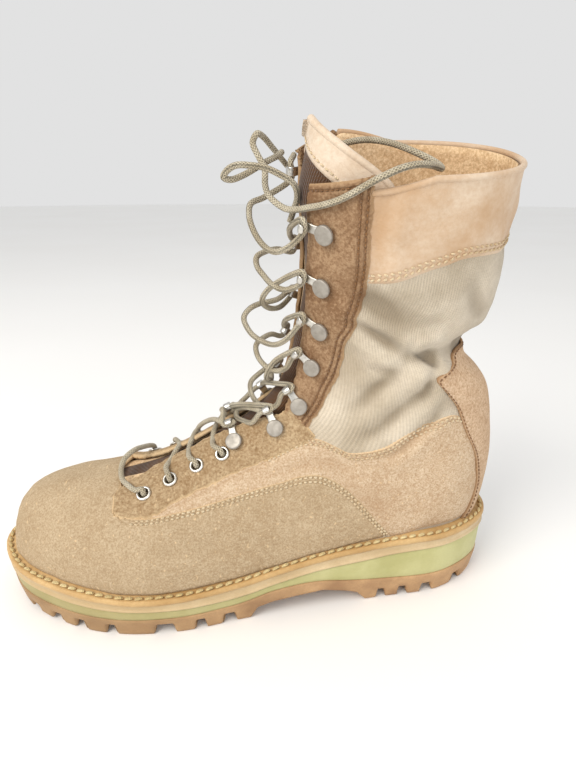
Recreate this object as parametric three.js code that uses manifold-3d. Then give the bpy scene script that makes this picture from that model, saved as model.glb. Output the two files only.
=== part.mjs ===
// A left combat boot with a lug sole, standing on a floor.
// Millimetres: X runs from heel to toe, Y to the outer side of the foot, Z up.
// The origin is on the floor under the middle of the heel.
import * as THREE from 'three';
import { mergeVertices } from 'three/addons/utils/BufferGeometryUtils.js';
import Module from 'manifold-3d';

const wasm = await Module();
wasm.setup();

// ---- driving dimensions ----
const gap = 0.3; // between pieces that meet
const wall = 2.4; // leather of the upper with its lining
const weltThickness = 3.7;
const weltShelf = 3.4; // how far the welt's inner edge lies inside the upper
const insoleInset = 4.4; // from the upper's outer face to the insole's edge
const insoleRise = 2.6; // insole above the top of the welt
const lugDepth = 5.8;
const channelInset = [17, 22]; // groove between edge lugs and middle lugs
const tongueThickness = 2.4;
const tongueGap = 1.2; // tongue behind the upper's lining
const counterThickness = 1.6; // leather heel counter on the outside of the heel
const counterGap = 1.0; // under the counter, where its flat facets bridge the round heel
const laceRadius = 1.5;
const cordSides = 6;
const crossingLift = 12; // slack of a crossing, above the front ridge
const innerShift = { degrees: 7, rows: 1.1, from: 11, over: 7.5 }; // inner fittings, against the outer ones
const collarRing = 20.1; // row of the section table where the collar ends
const collarSlant = 0.7; // collar higher at the inner front, lower at the outer front

const hook = { capRadius: 4.8, capHeight: 1.8, plate: 1.2, width: 4.8, reach: 10.5, curl: 2.9 };
const eyelet = { flange: 4.3, hole: 2.5, barrel: 3.1, height: 0.9, clearance: 3.4, sides: 10 };

// ---- the last: one leaning section a row, from the toe cap up to the collar ----
// A section lies in a plane through its base point and its top point, and across the boot.
// It is two half superellipses that share the widest line, at the share 'peak' of its height.
const sectionColumns = [
  'topX', 'topZ', 'baseX', 'baseZ', 'outer', 'inner', 'topY', 'baseY', 'peak', 'topPower', 'basePower', 'lean',
];
const sectionRows = [
  [255, 34, 256, 6, 4, 5, -8, -8, 0.5, 2.0, 2.5, 0],
  [253, 51, 255, 6, 12, 15, -8, -8, 0.42, 2.0, 3.2, 0],
  [247, 63.5, 251, 6, 20.5, 27, -7, -7, 0.38, 2.1, 3.8, 0],
  [235, 72, 240, 6, 29, 37, -5, -5, 0.36, 2.2, 4.2, 0],
  [214, 78, 220, 6, 37.5, 45, -2, -2, 0.36, 2.2, 4.5, 0],
  [189, 82.5, 191, 6, 45.5, 47, 0, 0, 0.34, 2.1, 4.5, 0],
  [164, 89, 158, 8, 48.5, 43, 0, 0, 0.32, 1.9, 4.2, 0],
  [138, 101.5, 122, 11, 44.5, 38, 0, 0, 0.29, 1.75, 4, 0],
  [114, 116, 84, 14, 40.5, 35, 0, 0, 0.27, 1.75, 3.8, 0],
  [98, 131, 40, 16, 38, 35, 0, 0, 0.26, 1.85, 3.2, 0],
  [90, 146, -8, 18, 34.5, 34.5, 1, 0, 0.27, 2.0, 2.3, 0],
  [87, 159, -31, 42, 34, 34, 2, 0, 0.3, 2.1, 2.05, 1],
  [85, 171, -37.5, 78, 34.5, 34.5, 4, 0, 0.36, 2.1, 2.05, 2],
  [83.5, 181, -35.5, 106, 35, 35, 6, 1, 0.42, 2.1, 2.05, 4],
  [82.5, 189, -29, 132, 35, 36, 9, 3, 0.45, 2.1, 2.0, 6],
  [82, 195, -14.5, 149, 35, 36, 11, 4, 0.47, 2.1, 1.8, 7],
  [82, 201, -16, 161, 35.5, 37, 12, 4, 0.48, 2.1, 1.8, 8],
  [82, 209, -24.5, 174, 37, 38, 14, 7, 0.5, 2.1, 2.0, 9],
  [82, 220, -26.5, 194, 38, 38, 17, 10, 0.5, 2.1, 2.15, 11],
  [83, 234, -26.5, 218, 39, 39, 20, 14, 0.5, 2.1, 2.2, 12],
  [83, 249, -26.5, 250, 40, 40, 23, 18, 0.5, 2.1, 2.2, 13],
  [84, 266, -29, 286, 40, 40, 27, 22, 0.5, 2.1, 2.2, 13],
  [85, 284, -31, 322, 40, 40, 31, 27, 0.5, 2.1, 2.2, 13],
];

// ---- the sole: edge in plan, and the height of each layer along the length ----
const soleOutline = [
  [-40, 0], [-34, 19], [-6, 37], [35, 41], [70, 43.5], [115, 48], [155, 53.5], [190, 51], [220, 40.5],
  [249, 21], [263, -7], [256, -32], [230, -50], [190, -56], [138, -47], [78, -37], [-6, -37], [-34, -20],
];
const soleTaper = [[0, 4.5], [14, 2], [30, 0.7], [46, 0]]; // height, how far the edge is drawn in
// underside: rounded heel edge, flat heel, arch, flat forefoot, toe spring
const treadLine = [
  [-60, 8], [-42, 5.5], [-34, 2], [-25, 0], [44, 0], [50, 7.5], [58, 10.5], [71, 14], [89, 12.2],
  [101, 10.7], [110, 8], [114, 0], [214, 0], [232, 1], [248, 3.5], [275, 9],
];
const layerColumns = ['x', 'outsole', 'midsole', 'rand']; // top face of each layer
const layerRows = [
  [-60, 16.4, 36.8, 42.3],
  [-40, 16.2, 36.6, 42.2],
  [15, 15.6, 35.6, 41.4],
  [50, 18, 32, 39],
  [76, 21.5, 29.2, 35.4],
  [100, 19.5, 24, 30.5],
  [124, 13.6, 18.6, 25.6],
  [172, 12, 18.2, 23],
  [205, 13, 20, 25.8],
  [232, 14.8, 22.6, 28.2],
  [266, 19, 27, 32],
  [285, 22, 30, 35],
];
// edge grooves between the lugs: centre and width where they meet the floor
const edgeGrooves = [
  [-18.5, 8], [4.4, 9], [20.6, 6.5], [34.2, 6], [126, 8.5], [142.4, 7], [163, 13], [194, 7],
  [212.7, 8], [228, 8], [243, 6],
];
const middleGrooves = [[-14, 5], [23, 5], [133, 5], [152, 5], [196, 5], [217, 5], [237, 5]];

// ---- panels, in rows of the section table and degrees round it ----
// 0 is the front ridge, 90 the outer side, 180 the back or the bottom
const throatRows = [
  [5.3, 2, -3], [5.5, 9, -6], [5.8, 11, -7], [6.5, 8, -7], [7.5, 10, -9], [8.5, 22, -15], [9.3, 27, -18],
  [10.2, 21, -15], [12, 22, -14], [19, 22, -13], [22, 22, -13],
]; // row, outer edge, inner edge
const tongueRows = [
  [5.0, 24, -22], [7.5, 27, -24], [9.3, 36, -28], [12, 38, -26], [17, 48, -22], [20.1, 62, -16], [22, 66, -12],
];
const tongueTop = { inner: 21.4, outer: 20.3 };
const counterRows = [
  [10.2, 135], [11.2, 137], [11.9, 130], [12.5, 117], [13.1, 112], [13.5, 101], [13.8, 99], [14.2, 111],
  [14.7, 131],
]; // row, edge on either side
const outerHooks = [ // row, degrees; from the collar down
  [18.5, 40], [16.1, 41], [12.85, 37], [11.1, 33], [9.6, 33], [8.7, 32], [7.68, 24],
];
const outerEyelets = [[7.38, 27], [6.83, 26.5], [6.28, 28], [5.73, 32]]; // towards the toe

// ---- interpolation ----
// Catmull-Rom: each column passes smoothly through the rows
function catmull(rows, position) {
  const last = rows.length - 1;
  const at = THREE.MathUtils.clamp(position, 0, last - 1e-9);
  const i = Math.floor(at);
  const t = at - i;
  const [a, b, c, d] = [Math.max(i - 1, 0), i, i + 1, Math.min(i + 2, last)].map((k) => rows[k]);
  return b.map((_, k) => 0.5 * (2 * b[k] + (c[k] - a[k]) * t
    + (2 * a[k] - 5 * b[k] + 4 * c[k] - d[k]) * t * t
    + (3 * b[k] - 3 * c[k] + d[k] - a[k]) * t * t * t));
}

// straight lines between rows whose first column is the key
function between(rows, key, column = 1) {
  const i = rows.findIndex((row) => row[0] >= key);
  if (i === 0) return rows[0][column];
  if (i < 0) return rows[rows.length - 1][column];
  const t = (key - rows[i - 1][0]) / (rows[i][0] - rows[i - 1][0]);
  return THREE.MathUtils.lerp(rows[i - 1][column], rows[i][column], t);
}

const radians = THREE.MathUtils.degToRad;

// ---- the upper's own function ----
function sectionPoint(u, angle) {
  const values = catmull(sectionRows, u);
  const s = Object.fromEntries(sectionColumns.map((name, k) => [name, values[k]]));
  const height = Math.hypot(s.topX - s.baseX, s.topZ - s.baseZ);
  const [ex, ez] = [(s.topX - s.baseX) / height, (s.topZ - s.baseZ) / height];
  const [cos, sin] = [Math.cos(angle), Math.sin(angle)];
  const power = cos >= 0 ? s.topPower : s.basePower;
  const radius = (Math.abs(sin) ** power + Math.abs(cos) ** power) ** (-1 / power);
  const across = (sin >= 0 ? s.outer : s.inner) * sin * radius;
  const widest = s.peak * height;
  const along = widest + (cos >= 0 ? height - widest : widest) * cos * radius;
  const raised = -Math.tan(radians(s.lean)) * across;
  const middle = s.baseY + (s.topY - s.baseY) * along / height;
  return new THREE.Vector3(
    s.baseX + ex * along - ez * raised, across + middle, s.baseZ + ez * along + ex * raised);
}

// outward direction of the upper's face, from two short steps along it
function outward(u, angle) {
  const last = sectionRows.length - 1;
  const along = sectionPoint(Math.min(u + 0.02, last), angle).sub(sectionPoint(Math.max(u - 0.02, 0), angle));
  const around = sectionPoint(u, angle + 0.01).sub(sectionPoint(u, angle - 0.01));
  return around.cross(along).normalize();
}

// the upper's outer face, moved out by 'grow'
function skin(u, degrees, grow = 0) {
  const angle = radians(degrees);
  return sectionPoint(u, angle).addScaledVector(outward(u, angle), grow);
}

// ---- solids ----
function geometryOf(points, triangles) {
  const geometry = new THREE.BufferGeometry();
  geometry.setAttribute('position', new THREE.Float32BufferAttribute(points.flatMap((p) => p.toArray()), 3));
  geometry.setIndex(triangles.flat());
  return geometry;
}

function solid(geometry) {
  const plain = geometry.clone();
  plain.deleteAttribute('normal');
  plain.deleteAttribute('uv');
  const merged = mergeVertices(plain, 1e-4);
  const vertProperties = Float32Array.from(merged.attributes.position.array);
  const triVerts = Uint32Array.from(merged.index.array);
  if (signedVolume(vertProperties, triVerts) < 0) {
    for (let k = 0; k < triVerts.length; k += 3) {
      [triVerts[k], triVerts[k + 1]] = [triVerts[k + 1], triVerts[k]];
    }
  }
  return new wasm.Manifold(new wasm.Mesh({ numProp: 3, vertProperties, triVerts }));
}

function signedVolume(positions, triangles) {
  let sum = 0;
  const corner = (k) => new THREE.Vector3().fromArray(positions, 3 * triangles[k]);
  for (let k = 0; k < triangles.length; k += 3) {
    sum += corner(k).dot(corner(k + 1).cross(corner(k + 2)));
  }
  return sum;
}

// closed body through loops of equal length; each end closes on its middle, or for a flat band
// (the loop runs out along one face and back along the other) straight across the band
function loft(loops, ends = 'middle') {
  const size = loops[0].length;
  const points = loops.flat();
  const triangles = [];
  for (let j = 0; j + 1 < loops.length; j += 1) {
    for (let i = 0; i < size; i += 1) {
      const [a, b] = [j * size + i, j * size + (i + 1) % size];
      triangles.push([a, b, b + size], [a, b + size, a + size]);
    }
  }
  for (const [first, flip] of [[0, true], [(loops.length - 1) * size, false]]) {
    const add = (a, b, c) => triangles.push(flip ? [a, c, b] : [a, b, c]);
    if (ends === 'middle') {
      const centre = new THREE.Vector3();
      loops[first / size].forEach((p) => centre.addScaledVector(p, 1 / size));
      points.push(centre);
      for (let i = 0; i < size; i += 1) add(first + i, first + (i + 1) % size, points.length - 1);
    } else {
      for (let i = 0; i + 1 < size / 2; i += 1) {
        const [a, b, c, d] = [i, i + 1, size - 2 - i, size - 1 - i].map((k) => first + k);
        add(a, b, c);
        add(a, c, d);
      }
    }
  }
  return solid(geometryOf(points, triangles));
}

const steps = (count) => Array.from({ length: count + 1 }, (_, k) => k / count);

// the whole boot form, from the toe to 'end' rows past the collar
function form(grow, end, rings, sides) {
  return loft(steps(rings).map((t) => steps(sides).slice(0, -1).map((s) => {
    const degrees = 360 * s - 180;
    return skin(t * (collarAt(degrees) + end), degrees, grow);
  })));
}

function collarAt(degrees) {
  const angle = radians(degrees);
  return collarRing - collarSlant * Math.sin(angle) * Math.max(Math.cos(angle), 0);
}

// a panel between two grown forms: rows u0 to u1, and the angles that 'edges' gives at each row
function panel({ u0, u1, edges, inside, outside, rows, columns, top }) {
  return loft(steps(rows).map((t) => {
    const loop = (grow) => steps(columns).map((s) => {
      const nominal = THREE.MathUtils.lerp(u0, u1, t);
      const [from, to] = edges(nominal);
      const degrees = THREE.MathUtils.lerp(from, to, s);
      const u = top ? THREE.MathUtils.lerp(u0, top(s), t) : nominal;
      return skin(u, degrees, grow);
    });
    return [...loop(outside), ...loop(inside).reverse()];
  }), 'band');
}

// body that fills the side outline between two lines of (x, z), right across the boot
function across(lower, upper, halfWidth = 90) {
  const outline = [...lower, ...[...upper].reverse()].map(([x, z]) => new THREE.Vector2(x, z));
  const geometry = new THREE.ExtrudeGeometry(new THREE.Shape(outline), { depth: 2 * halfWidth, bevelEnabled: false });
  return solid(geometry.rotateX(Math.PI / 2).translate(0, halfWidth, 0));
}

// top face of a sole layer as a line of points, moved up by 'lift'
function layerLine(name, lift = 0, count = 20) {
  const column = layerColumns.indexOf(name);
  return steps(count).map((t) => {
    const row = catmull(layerRows, t * (layerRows.length - 1));
    return [row[0], row[column] + lift];
  });
}

// ---- sole ----
const outlineCurve = new THREE.CatmullRomCurve3(
  soleOutline.map(([x, y]) => new THREE.Vector3(x, y, 0)), true, 'centripetal');

// the outline drawn in by 'inset', at a height z
function outlineLoop(inset, z, count = 44) {
  return outlineCurve.getSpacedPoints(count).slice(0, -1).map((point, k) => {
    const tangent = outlineCurve.getTangentAt(k / count);
    return new THREE.Vector3(point.x - tangent.y * inset, point.y + tangent.x * inset, z);
  });
}

// the outline runs clockwise seen from above, so 'inset' is measured to its right
function inward(inset) {
  return -inset;
}

function soleForm(extra = 0) {
  const heights = [[-2, soleTaper[0][1]], ...soleTaper, [60, 0]];
  return loft(heights.map(([z, inset]) => outlineLoop(inward(inset + extra), z)));
}

function grooveTool(x, width, y0, y1) {
  const half = width / 2;
  const trapezoid = [[x - half, -1], [x - half * 0.6, lugDepth], [x + half * 0.6, lugDepth], [x + half, -1]];
  const geometry = new THREE.ExtrudeGeometry(
    new THREE.Shape(trapezoid.map(([a, b]) => new THREE.Vector2(a, b))),
    { depth: y1 - y0, bevelEnabled: false });
  return solid(geometry.rotateX(Math.PI / 2).translate(0, y1, 0));
}

function outsole() {
  const channel = loft([-1, lugDepth].map((z) => outlineLoop(inward(channelInset[0]), z, 30)))
    .subtract(loft([-2, lugDepth + 1].map((z) => outlineLoop(inward(channelInset[1]), z, 30))));
  const edge = edgeGrooves.map(([x, width]) => grooveTool(x, width, -80, 80))
    .reduce((a, b) => a.add(b))
    .subtract(loft([-3, lugDepth + 2].map((z) => outlineLoop(inward(channelInset[0] + 1), z, 30))));
  const middle = middleGrooves.map(([x, width]) => grooveTool(x, width, -80, 80))
    .reduce((a, b) => a.add(b))
    .intersect(loft([-3, lugDepth + 2].map((z) => outlineLoop(inward(channelInset[1] - 1), z, 30))));
  return soleForm().intersect(across(treadLine, layerLine('outsole')))
    .subtract(channel).subtract(edge).subtract(middle);
}

const layer = (below, above) => soleForm()
  .intersect(across(layerLine(below, gap), layerLine(above)));

function welt() {
  return soleForm().intersect(across(layerLine('rand', gap), layerLine('rand', weltThickness)))
    .subtract(form(-weltShelf, 0, 16, 28));
}

function insole() {
  return form(-insoleInset, 0, 16, 28)
    .intersect(across(layerLine('rand', gap), layerLine('rand', weltThickness + insoleRise)));
}

// everything under the line where the upper meets the welt
const underWelt = () => across([[-70, -60], [300, -60]], layerLine('rand', weltThickness + gap));

// ---- upper, tongue and heel counter ----
function upper() {
  const throat = panel({
    u0: throatRows[0][0], u1: 22, edges: (u) => [between(throatRows, u, 2), between(throatRows, u, 1)],
    inside: -8, outside: 6, rows: 20, columns: 2,
  });
  let body = form(0, 0, 33, 34).subtract(form(-wall, 0.9, 20, 20)).subtract(underWelt()).subtract(throat);
  for (const place of fittings(outerEyelets)) {
    const drill = new THREE.CylinderGeometry(eyelet.clearance, eyelet.clearance, 14, eyelet.sides);
    body = body.subtract(solid(stand(drill.rotateX(Math.PI / 2), place)));
  }
  return body;
}

function tongue() {
  return panel({
    u0: tongueRows[0][0], u1: 21, edges: (u) => [between(tongueRows, u, 2), between(tongueRows, u, 1)],
    inside: -wall - tongueGap - tongueThickness, outside: -wall - tongueGap, rows: 18, columns: 6,
    top: (s) => THREE.MathUtils.lerp(tongueTop.inner, tongueTop.outer, s),
  });
}

function counter() {
  const edges = (u) => [between(counterRows, u), 360 - between(counterRows, u)];
  return panel({
    u0: counterRows[0][0], u1: counterRows.at(-1)[0], edges,
    inside: counterGap, outside: counterGap + counterThickness, rows: 12, columns: 12,
  }).subtract(underWelt());
}

// ---- hooks and eyelets ----
// both rows of a fitting: the outer one as listed, the inner one mirrored, nearer the middle
// and, up the shaft, a little higher
const fittings = (rows) => [
  ...rows.map(([u, degrees]) => ({ u, degrees, side: 1 })),
  ...rows.map(([u, degrees]) => {
    const share = THREE.MathUtils.clamp((u - innerShift.from) / innerShift.over, 0, 1);
    return { u: u + innerShift.rows * share, degrees: innerShift.degrees - degrees, side: -1 };
  }),
];

// places a geometry or a point on the upper: its x towards the throat, its z outwards
function stand(item, { u, degrees, side }) {
  const angle = radians(degrees);
  const normal = outward(u, angle);
  const towards = sectionPoint(u, angle - side * 0.02).sub(sectionPoint(u, angle));
  towards.addScaledVector(normal, -towards.dot(normal)).normalize();
  const matrix = new THREE.Matrix4().makeBasis(towards, normal.clone().cross(towards), normal);
  return item.applyMatrix4(matrix.setPosition(skin(u, degrees)));
}

// riveted plate whose end turns up and back over itself, with a flat round cap
function hookShape() {
  const { plate, reach, curl, width } = hook;
  const inner = curl - plate;
  const arc = (radius, from, to) => steps(4).map((t) => {
    const angle = THREE.MathUtils.lerp(from, to, t);
    return new THREE.Vector2(reach + radius * Math.cos(angle), curl + radius * Math.sin(angle));
  });
  const outline = [
    new THREE.Vector2(-3.4, 0), ...arc(curl, -Math.PI / 2, Math.PI * 0.62),
    ...arc(inner, Math.PI * 0.62, -Math.PI / 2), new THREE.Vector2(-3.4, plate),
  ];
  const strip = new THREE.ExtrudeGeometry(new THREE.Shape(outline), { depth: width, bevelEnabled: false });
  const cap = new THREE.CylinderGeometry(hook.capRadius - 0.5, hook.capRadius, hook.capHeight, 10);
  return solid(strip.rotateX(Math.PI / 2).translate(0, width / 2, gap))
    .add(solid(cap.rotateX(Math.PI / 2).translate(0, 0, gap + plate * 0.5 + hook.capHeight / 2)));
}

function eyeletShape() {
  const { flange, hole, barrel, height, sides } = eyelet;
  const profile = [[hole, -wall], [barrel, -wall], [barrel, gap], [flange, gap], [flange - 0.7, gap + height],
    [hole, gap + height], [hole, -wall]];
  return new THREE.LatheGeometry(profile.map(([r, z]) => new THREE.Vector2(r, z)), sides).rotateX(Math.PI / 2);
}

// ---- laces ----
// the round lace along a smooth curve through points
function cord(points, pieces) {
  const round = steps(cordSides).slice(0, -1).map((t) => new THREE.Vector2(
    laceRadius * Math.cos(2 * Math.PI * t), laceRadius * Math.sin(2 * Math.PI * t)));
  const curve = new THREE.CatmullRomCurve3(points, false, 'centripetal');
  return solid(new THREE.ExtrudeGeometry(new THREE.Shape(round), { steps: pieces, extrudePath: curve }));
}

// slack crossings from each fitting to the next one on the other side, and the bar nearest the toe
function crossings() {
  const lane = (rows, reach) => {
    const all = fittings(rows);
    return all.slice(0, rows.length).map((outer, k) => [outer, all[k + rows.length]].map((place) => ({
      u: place.u, point: stand(new THREE.Vector3(reach, 0, 4.2), place) })));
  };
  const pairs = [...lane(outerHooks, hook.reach + hook.curl + laceRadius + gap), ...lane(outerEyelets, 0)];
  const middle = (from, to, lift) => skin((from.u + to.u) / 2, innerShift.degrees / 2, lift);
  const strand = (side) => pairs.flatMap((pair, k) => {
    const here = pair[(k + side) % 2];
    const next = pairs[k + 1]?.[(k + 1 + side) % 2];
    return next ? [here.point, middle(here, next, crossingLift)] : [here.point];
  });
  const last = pairs.at(-1);
  const bar = [middle(...last, crossingLift / 2), last[pairs.length % 2].point];
  return cord(strand(0), 32).add(cord([...strand(1), ...bar], 35));
}

// slack ear of lace between the two top hooks
const earRoute = [
  [87, 27, 223.5], [85, 25, 228.5], [83.5, 27, 233.5], [84, 30, 238], [86, 31, 241], [91, 31, 244],
  [98, 31, 247], [105, 31, 248], [111, 30, 248], [115, 28, 246], [117, 26, 243], [114, 24, 242],
  [108, 20, 244], [98, 13, 249.5], [94, 9.5, 251.5], [91, 6, 253], [88.5, 1, 255],
];
// free end: up in a narrow loop, down and over the outer side, over the collar and back behind the tongue
const endRoute = [
  [84, -12, 248], [88, -7, 252], [93, 0, 257], [98, 8, 261.5], [101, 14, 262], [103, 16, 258],
  [101, 18, 253], [98, 20, 247], [98, 22, 240], [97, 24, 236], [94, 27, 232.5], [89, 31, 229.5],
  [84, 36.5, 229.5], [79.5, 41.5, 230.5], [75, 46.5, 231.5], [69, 51.5, 233.5], [64, 55, 236],
  [60, 58, 238.5], [55, 60, 241.5], [50, 61.5, 244], [44, 62, 246.5], [37, 60, 248], [29, 55, 248],
  [22, 48, 247], [23, 42, 249.5], [31, 36, 254], [39, 26, 258], [47, 16, 260], [53, 8, 260], [62, 0, 258],
];
const route = (points) => points.map((p) => new THREE.Vector3(...p));

// ---- meshes ----
const boot = new THREE.Group();

function geometryFrom(body) {
  const { numProp, vertProperties, triVerts } = body.getMesh();
  const geometry = new THREE.BufferGeometry();
  geometry.setAttribute('position', new THREE.BufferAttribute(vertProperties, numProp));
  geometry.setIndex(new THREE.BufferAttribute(triVerts, 1));
  geometry.computeVertexNormals();
  return geometry;
}

function addMesh(name, body, color, roughness, metalness = 0) {
  const geometry = geometryFrom(body);
  const mesh = new THREE.Mesh(geometry, new THREE.MeshStandardMaterial({ color, roughness, metalness }));
  mesh.name = name;
  boot.add(mesh);
}

addMesh('outsole', outsole(), 0xab8767, 0.75);
addMesh('midsole', layer('outsole', 'midsole'), 0xc9c98c, 0.6);
addMesh('rand', layer('midsole', 'rand'), 0xd2b48a, 0.55);
addMesh('welt', welt(), 0xcda869, 0.7);
addMesh('insole', insole(), 0xb99b74, 0.9);
addMesh('upper', upper(), 0xc8a67e, 0.95);
addMesh('tongue', tongue(), 0x6b4a33, 0.9);
addMesh('heel_counter', counter(), 0xcfa880, 0.95);

fittings(outerHooks).forEach((place, k) => {
  const geometry = geometryFrom(hookShape());
  const row = k % outerHooks.length + 1;
  addMesh(`hook_${place.side > 0 ? 'outer' : 'inner'}_${row}`, solid(stand(geometry, place)), 0xa59e94, 0.5, 0.9);
});
fittings(outerEyelets).forEach((place, k) => {
  const row = k % outerEyelets.length + 1;
  const name = `eyelet_${place.side > 0 ? 'outer' : 'inner'}_${row}`;
  addMesh(name, solid(stand(eyeletShape(), place)), 0xd8d4cc, 0.35, 1);
});

addMesh('lace_crossings', crossings(), 0xb5a486, 0.9);
addMesh('lace_ear', cord(route(earRoute), 24), 0xb5a486, 0.9);
addMesh('lace_end', cord(route(endRoute), 44), 0xb5a486, 0.9);

export default boot;
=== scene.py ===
# A left combat boot: suede and canvas upper, hooks over eyelets, round laces, lug sole.
# Lengths are millimetres until a mesh is made; X runs to the toe, Y to the outer side, Z up.
import math

import bmesh
import bpy
import numpy as np
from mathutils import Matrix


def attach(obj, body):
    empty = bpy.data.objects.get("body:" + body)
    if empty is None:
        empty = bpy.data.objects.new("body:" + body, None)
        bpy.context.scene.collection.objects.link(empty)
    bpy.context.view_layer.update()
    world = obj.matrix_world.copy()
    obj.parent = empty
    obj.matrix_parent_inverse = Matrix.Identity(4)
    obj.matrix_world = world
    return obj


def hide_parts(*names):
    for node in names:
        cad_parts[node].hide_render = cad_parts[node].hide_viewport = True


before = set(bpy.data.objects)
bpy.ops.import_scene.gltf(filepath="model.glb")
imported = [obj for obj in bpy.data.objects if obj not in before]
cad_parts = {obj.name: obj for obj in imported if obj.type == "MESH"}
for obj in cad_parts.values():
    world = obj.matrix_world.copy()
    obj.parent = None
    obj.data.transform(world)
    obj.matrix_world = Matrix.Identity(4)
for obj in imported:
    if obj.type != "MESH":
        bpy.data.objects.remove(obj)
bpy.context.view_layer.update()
random = np.random.default_rng(7)

# the last, as leaning sections from the toe cap up to the collar
# topX topZ baseX baseZ outer inner topY baseY peak topPower basePower lean
lastRows = np.array([
    [255, 34, 256, 6, 4, 5, -8, -8, 0.5, 2.0, 2.5, 0],
    [253, 51, 255, 6, 12, 15, -8, -8, 0.42, 2.0, 3.2, 0],
    [247, 63.5, 251, 6, 20.5, 27, -7, -7, 0.38, 2.1, 3.8, 0],
    [235, 72, 240, 6, 29, 37, -5, -5, 0.36, 2.2, 4.2, 0],
    [214, 78, 220, 6, 37.5, 45, -2, -2, 0.36, 2.2, 4.5, 0],
    [189, 82.5, 191, 6, 45.5, 47, 0, 0, 0.34, 2.1, 4.5, 0],
    [164, 89, 158, 8, 48.5, 43, 0, 0, 0.32, 1.9, 4.2, 0],
    [138, 101.5, 122, 11, 44.5, 38, 0, 0, 0.29, 1.75, 4, 0],
    [114, 116, 84, 14, 40.5, 35, 0, 0, 0.27, 1.75, 3.8, 0],
    [98, 131, 40, 16, 38, 35, 0, 0, 0.26, 1.85, 3.2, 0],
    [90, 146, -8, 18, 34.5, 34.5, 1, 0, 0.27, 2.0, 2.3, 0],
    [87, 159, -31, 42, 34, 34, 2, 0, 0.3, 2.1, 2.05, 1],
    [85, 171, -37.5, 78, 34.5, 34.5, 4, 0, 0.36, 2.1, 2.05, 2],
    [83.5, 181, -35.5, 106, 35, 35, 6, 1, 0.42, 2.1, 2.05, 4],
    [82.5, 189, -29, 132, 35, 36, 9, 3, 0.45, 2.1, 2.0, 6],
    [82, 195, -14.5, 149, 35, 36, 11, 4, 0.47, 2.1, 1.8, 7],
    [82, 201, -16, 161, 35.5, 37, 12, 4, 0.48, 2.1, 1.8, 8],
    [82, 209, -24.5, 174, 37, 38, 14, 7, 0.5, 2.1, 2.0, 9],
    [82, 220, -26.5, 194, 38, 38, 17, 10, 0.5, 2.1, 2.15, 11],
    [83, 234, -26.5, 218, 39, 39, 20, 14, 0.5, 2.1, 2.2, 12],
    [83, 249, -26.5, 250, 40, 40, 23, 18, 0.5, 2.1, 2.2, 13],
    [84, 266, -29, 286, 40, 40, 27, 22, 0.5, 2.1, 2.2, 13],
    [85, 284, -31, 322, 40, 40, 31, 27, 0.5, 2.1, 2.2, 13],
])
upper = {"collarRow": 20.1, "collarSlant": 0.7, "innerTurn": 7, "innerRise": 1.1}
sole = {"weltThickness": 3.7, "lugDepth": 5.8, "gap": 0.3}
layerRows = np.array([  # x, then the tops of the outsole, the foam and the rand
    [-60, 16.4, 36.8, 42.3], [-40, 16.2, 36.6, 42.2], [15, 15.6, 35.6, 41.4], [50, 18, 32, 39],
    [76, 21.5, 29.2, 35.4], [100, 19.5, 24, 30.5], [124, 13.6, 18.6, 25.6], [172, 12, 18.2, 23],
    [205, 13, 20, 25.8], [232, 14.8, 22.6, 28.2], [266, 19, 27, 32], [285, 22, 30, 35],
])


def smoothRows(rows, position):
    # Catmull-Rom: every column passes smoothly through its rows
    last = len(rows) - 1
    at = np.clip(np.asarray(position, float), 0, last - 1e-9)
    i = np.floor(at).astype(int)
    t = (at - i)[..., None]
    a, b, c, d = (rows[np.clip(i + k, 0, last)] for k in (-1, 0, 1, 2))
    return 0.5 * (2 * b + (c - a) * t + (2 * a - 5 * b + 4 * c - d) * t**2
                  + (3 * b - 3 * c + d - a) * t**3)


def lastPoint(u, degrees):
    # each section is two half superellipses that share the widest line, leaned over sideways
    angle = np.radians(degrees)
    (topX, topZ, baseX, baseZ, outer, inner, topY, baseY, peak, topPower, basePower,
     lean) = np.moveaxis(smoothRows(lastRows, u), -1, 0)
    height = np.hypot(topX - baseX, topZ - baseZ)
    ex, ez = (topX - baseX) / height, (topZ - baseZ) / height
    cos, sin = np.cos(angle), np.sin(angle)
    power = np.where(cos >= 0, topPower, basePower)
    radius = (np.abs(sin) ** power + np.abs(cos) ** power) ** (-1 / power)
    side = np.where(sin >= 0, outer, inner) * sin * radius
    widest = peak * height
    along = widest + np.where(cos >= 0, height - widest, widest) * cos * radius
    raised = -np.tan(np.radians(lean)) * side
    middle = baseY + (topY - baseY) * along / height
    return np.stack([baseX + ex * along - ez * raised, side + middle,
                     baseZ + ez * along + ex * raised], -1)


def unit(v):
    # each vector divided by its own length
    return v / np.maximum(np.linalg.norm(v, axis=-1, keepdims=True), 1e-9)


def outward(u, degrees):
    # cross product of two short steps along the face
    top = len(lastRows) - 1
    along = lastPoint(np.minimum(u + 0.02, top), degrees) - lastPoint(np.maximum(u - 0.02, 0), degrees)
    around = lastPoint(u, degrees + 0.6) - lastPoint(u, degrees - 0.6)
    return unit(np.cross(around, along))


def skin(u, degrees, grow=0.0):
    # a point of the last, moved out along its normal by 'grow'
    u, degrees = np.broadcast_arrays(np.asarray(u, float), np.asarray(degrees, float))
    return lastPoint(u, degrees) + outward(u, degrees) * np.asarray(grow)[..., None]


def layerTop(x, name):
    # height of a sole layer's top face at x
    rows = smoothRows(layerRows, np.linspace(0, len(layerRows) - 1, 400))
    return np.interp(x, rows[:, 0], rows[:, {"outsole": 1, "midsole": 2, "rand": 3}[name]])


def weltTop(x):
    # the rand's top plus the welt's thickness
    return layerTop(x, "rand") + sole["weltThickness"]


def collarRow(degrees):
    # the row of the collar's top edge: less the slant times sine times cosine of the angle, in front only
    angle = np.radians(degrees)
    return upper["collarRow"] - upper["collarSlant"] * np.sin(angle) * np.maximum(np.cos(angle), 0)


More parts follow.
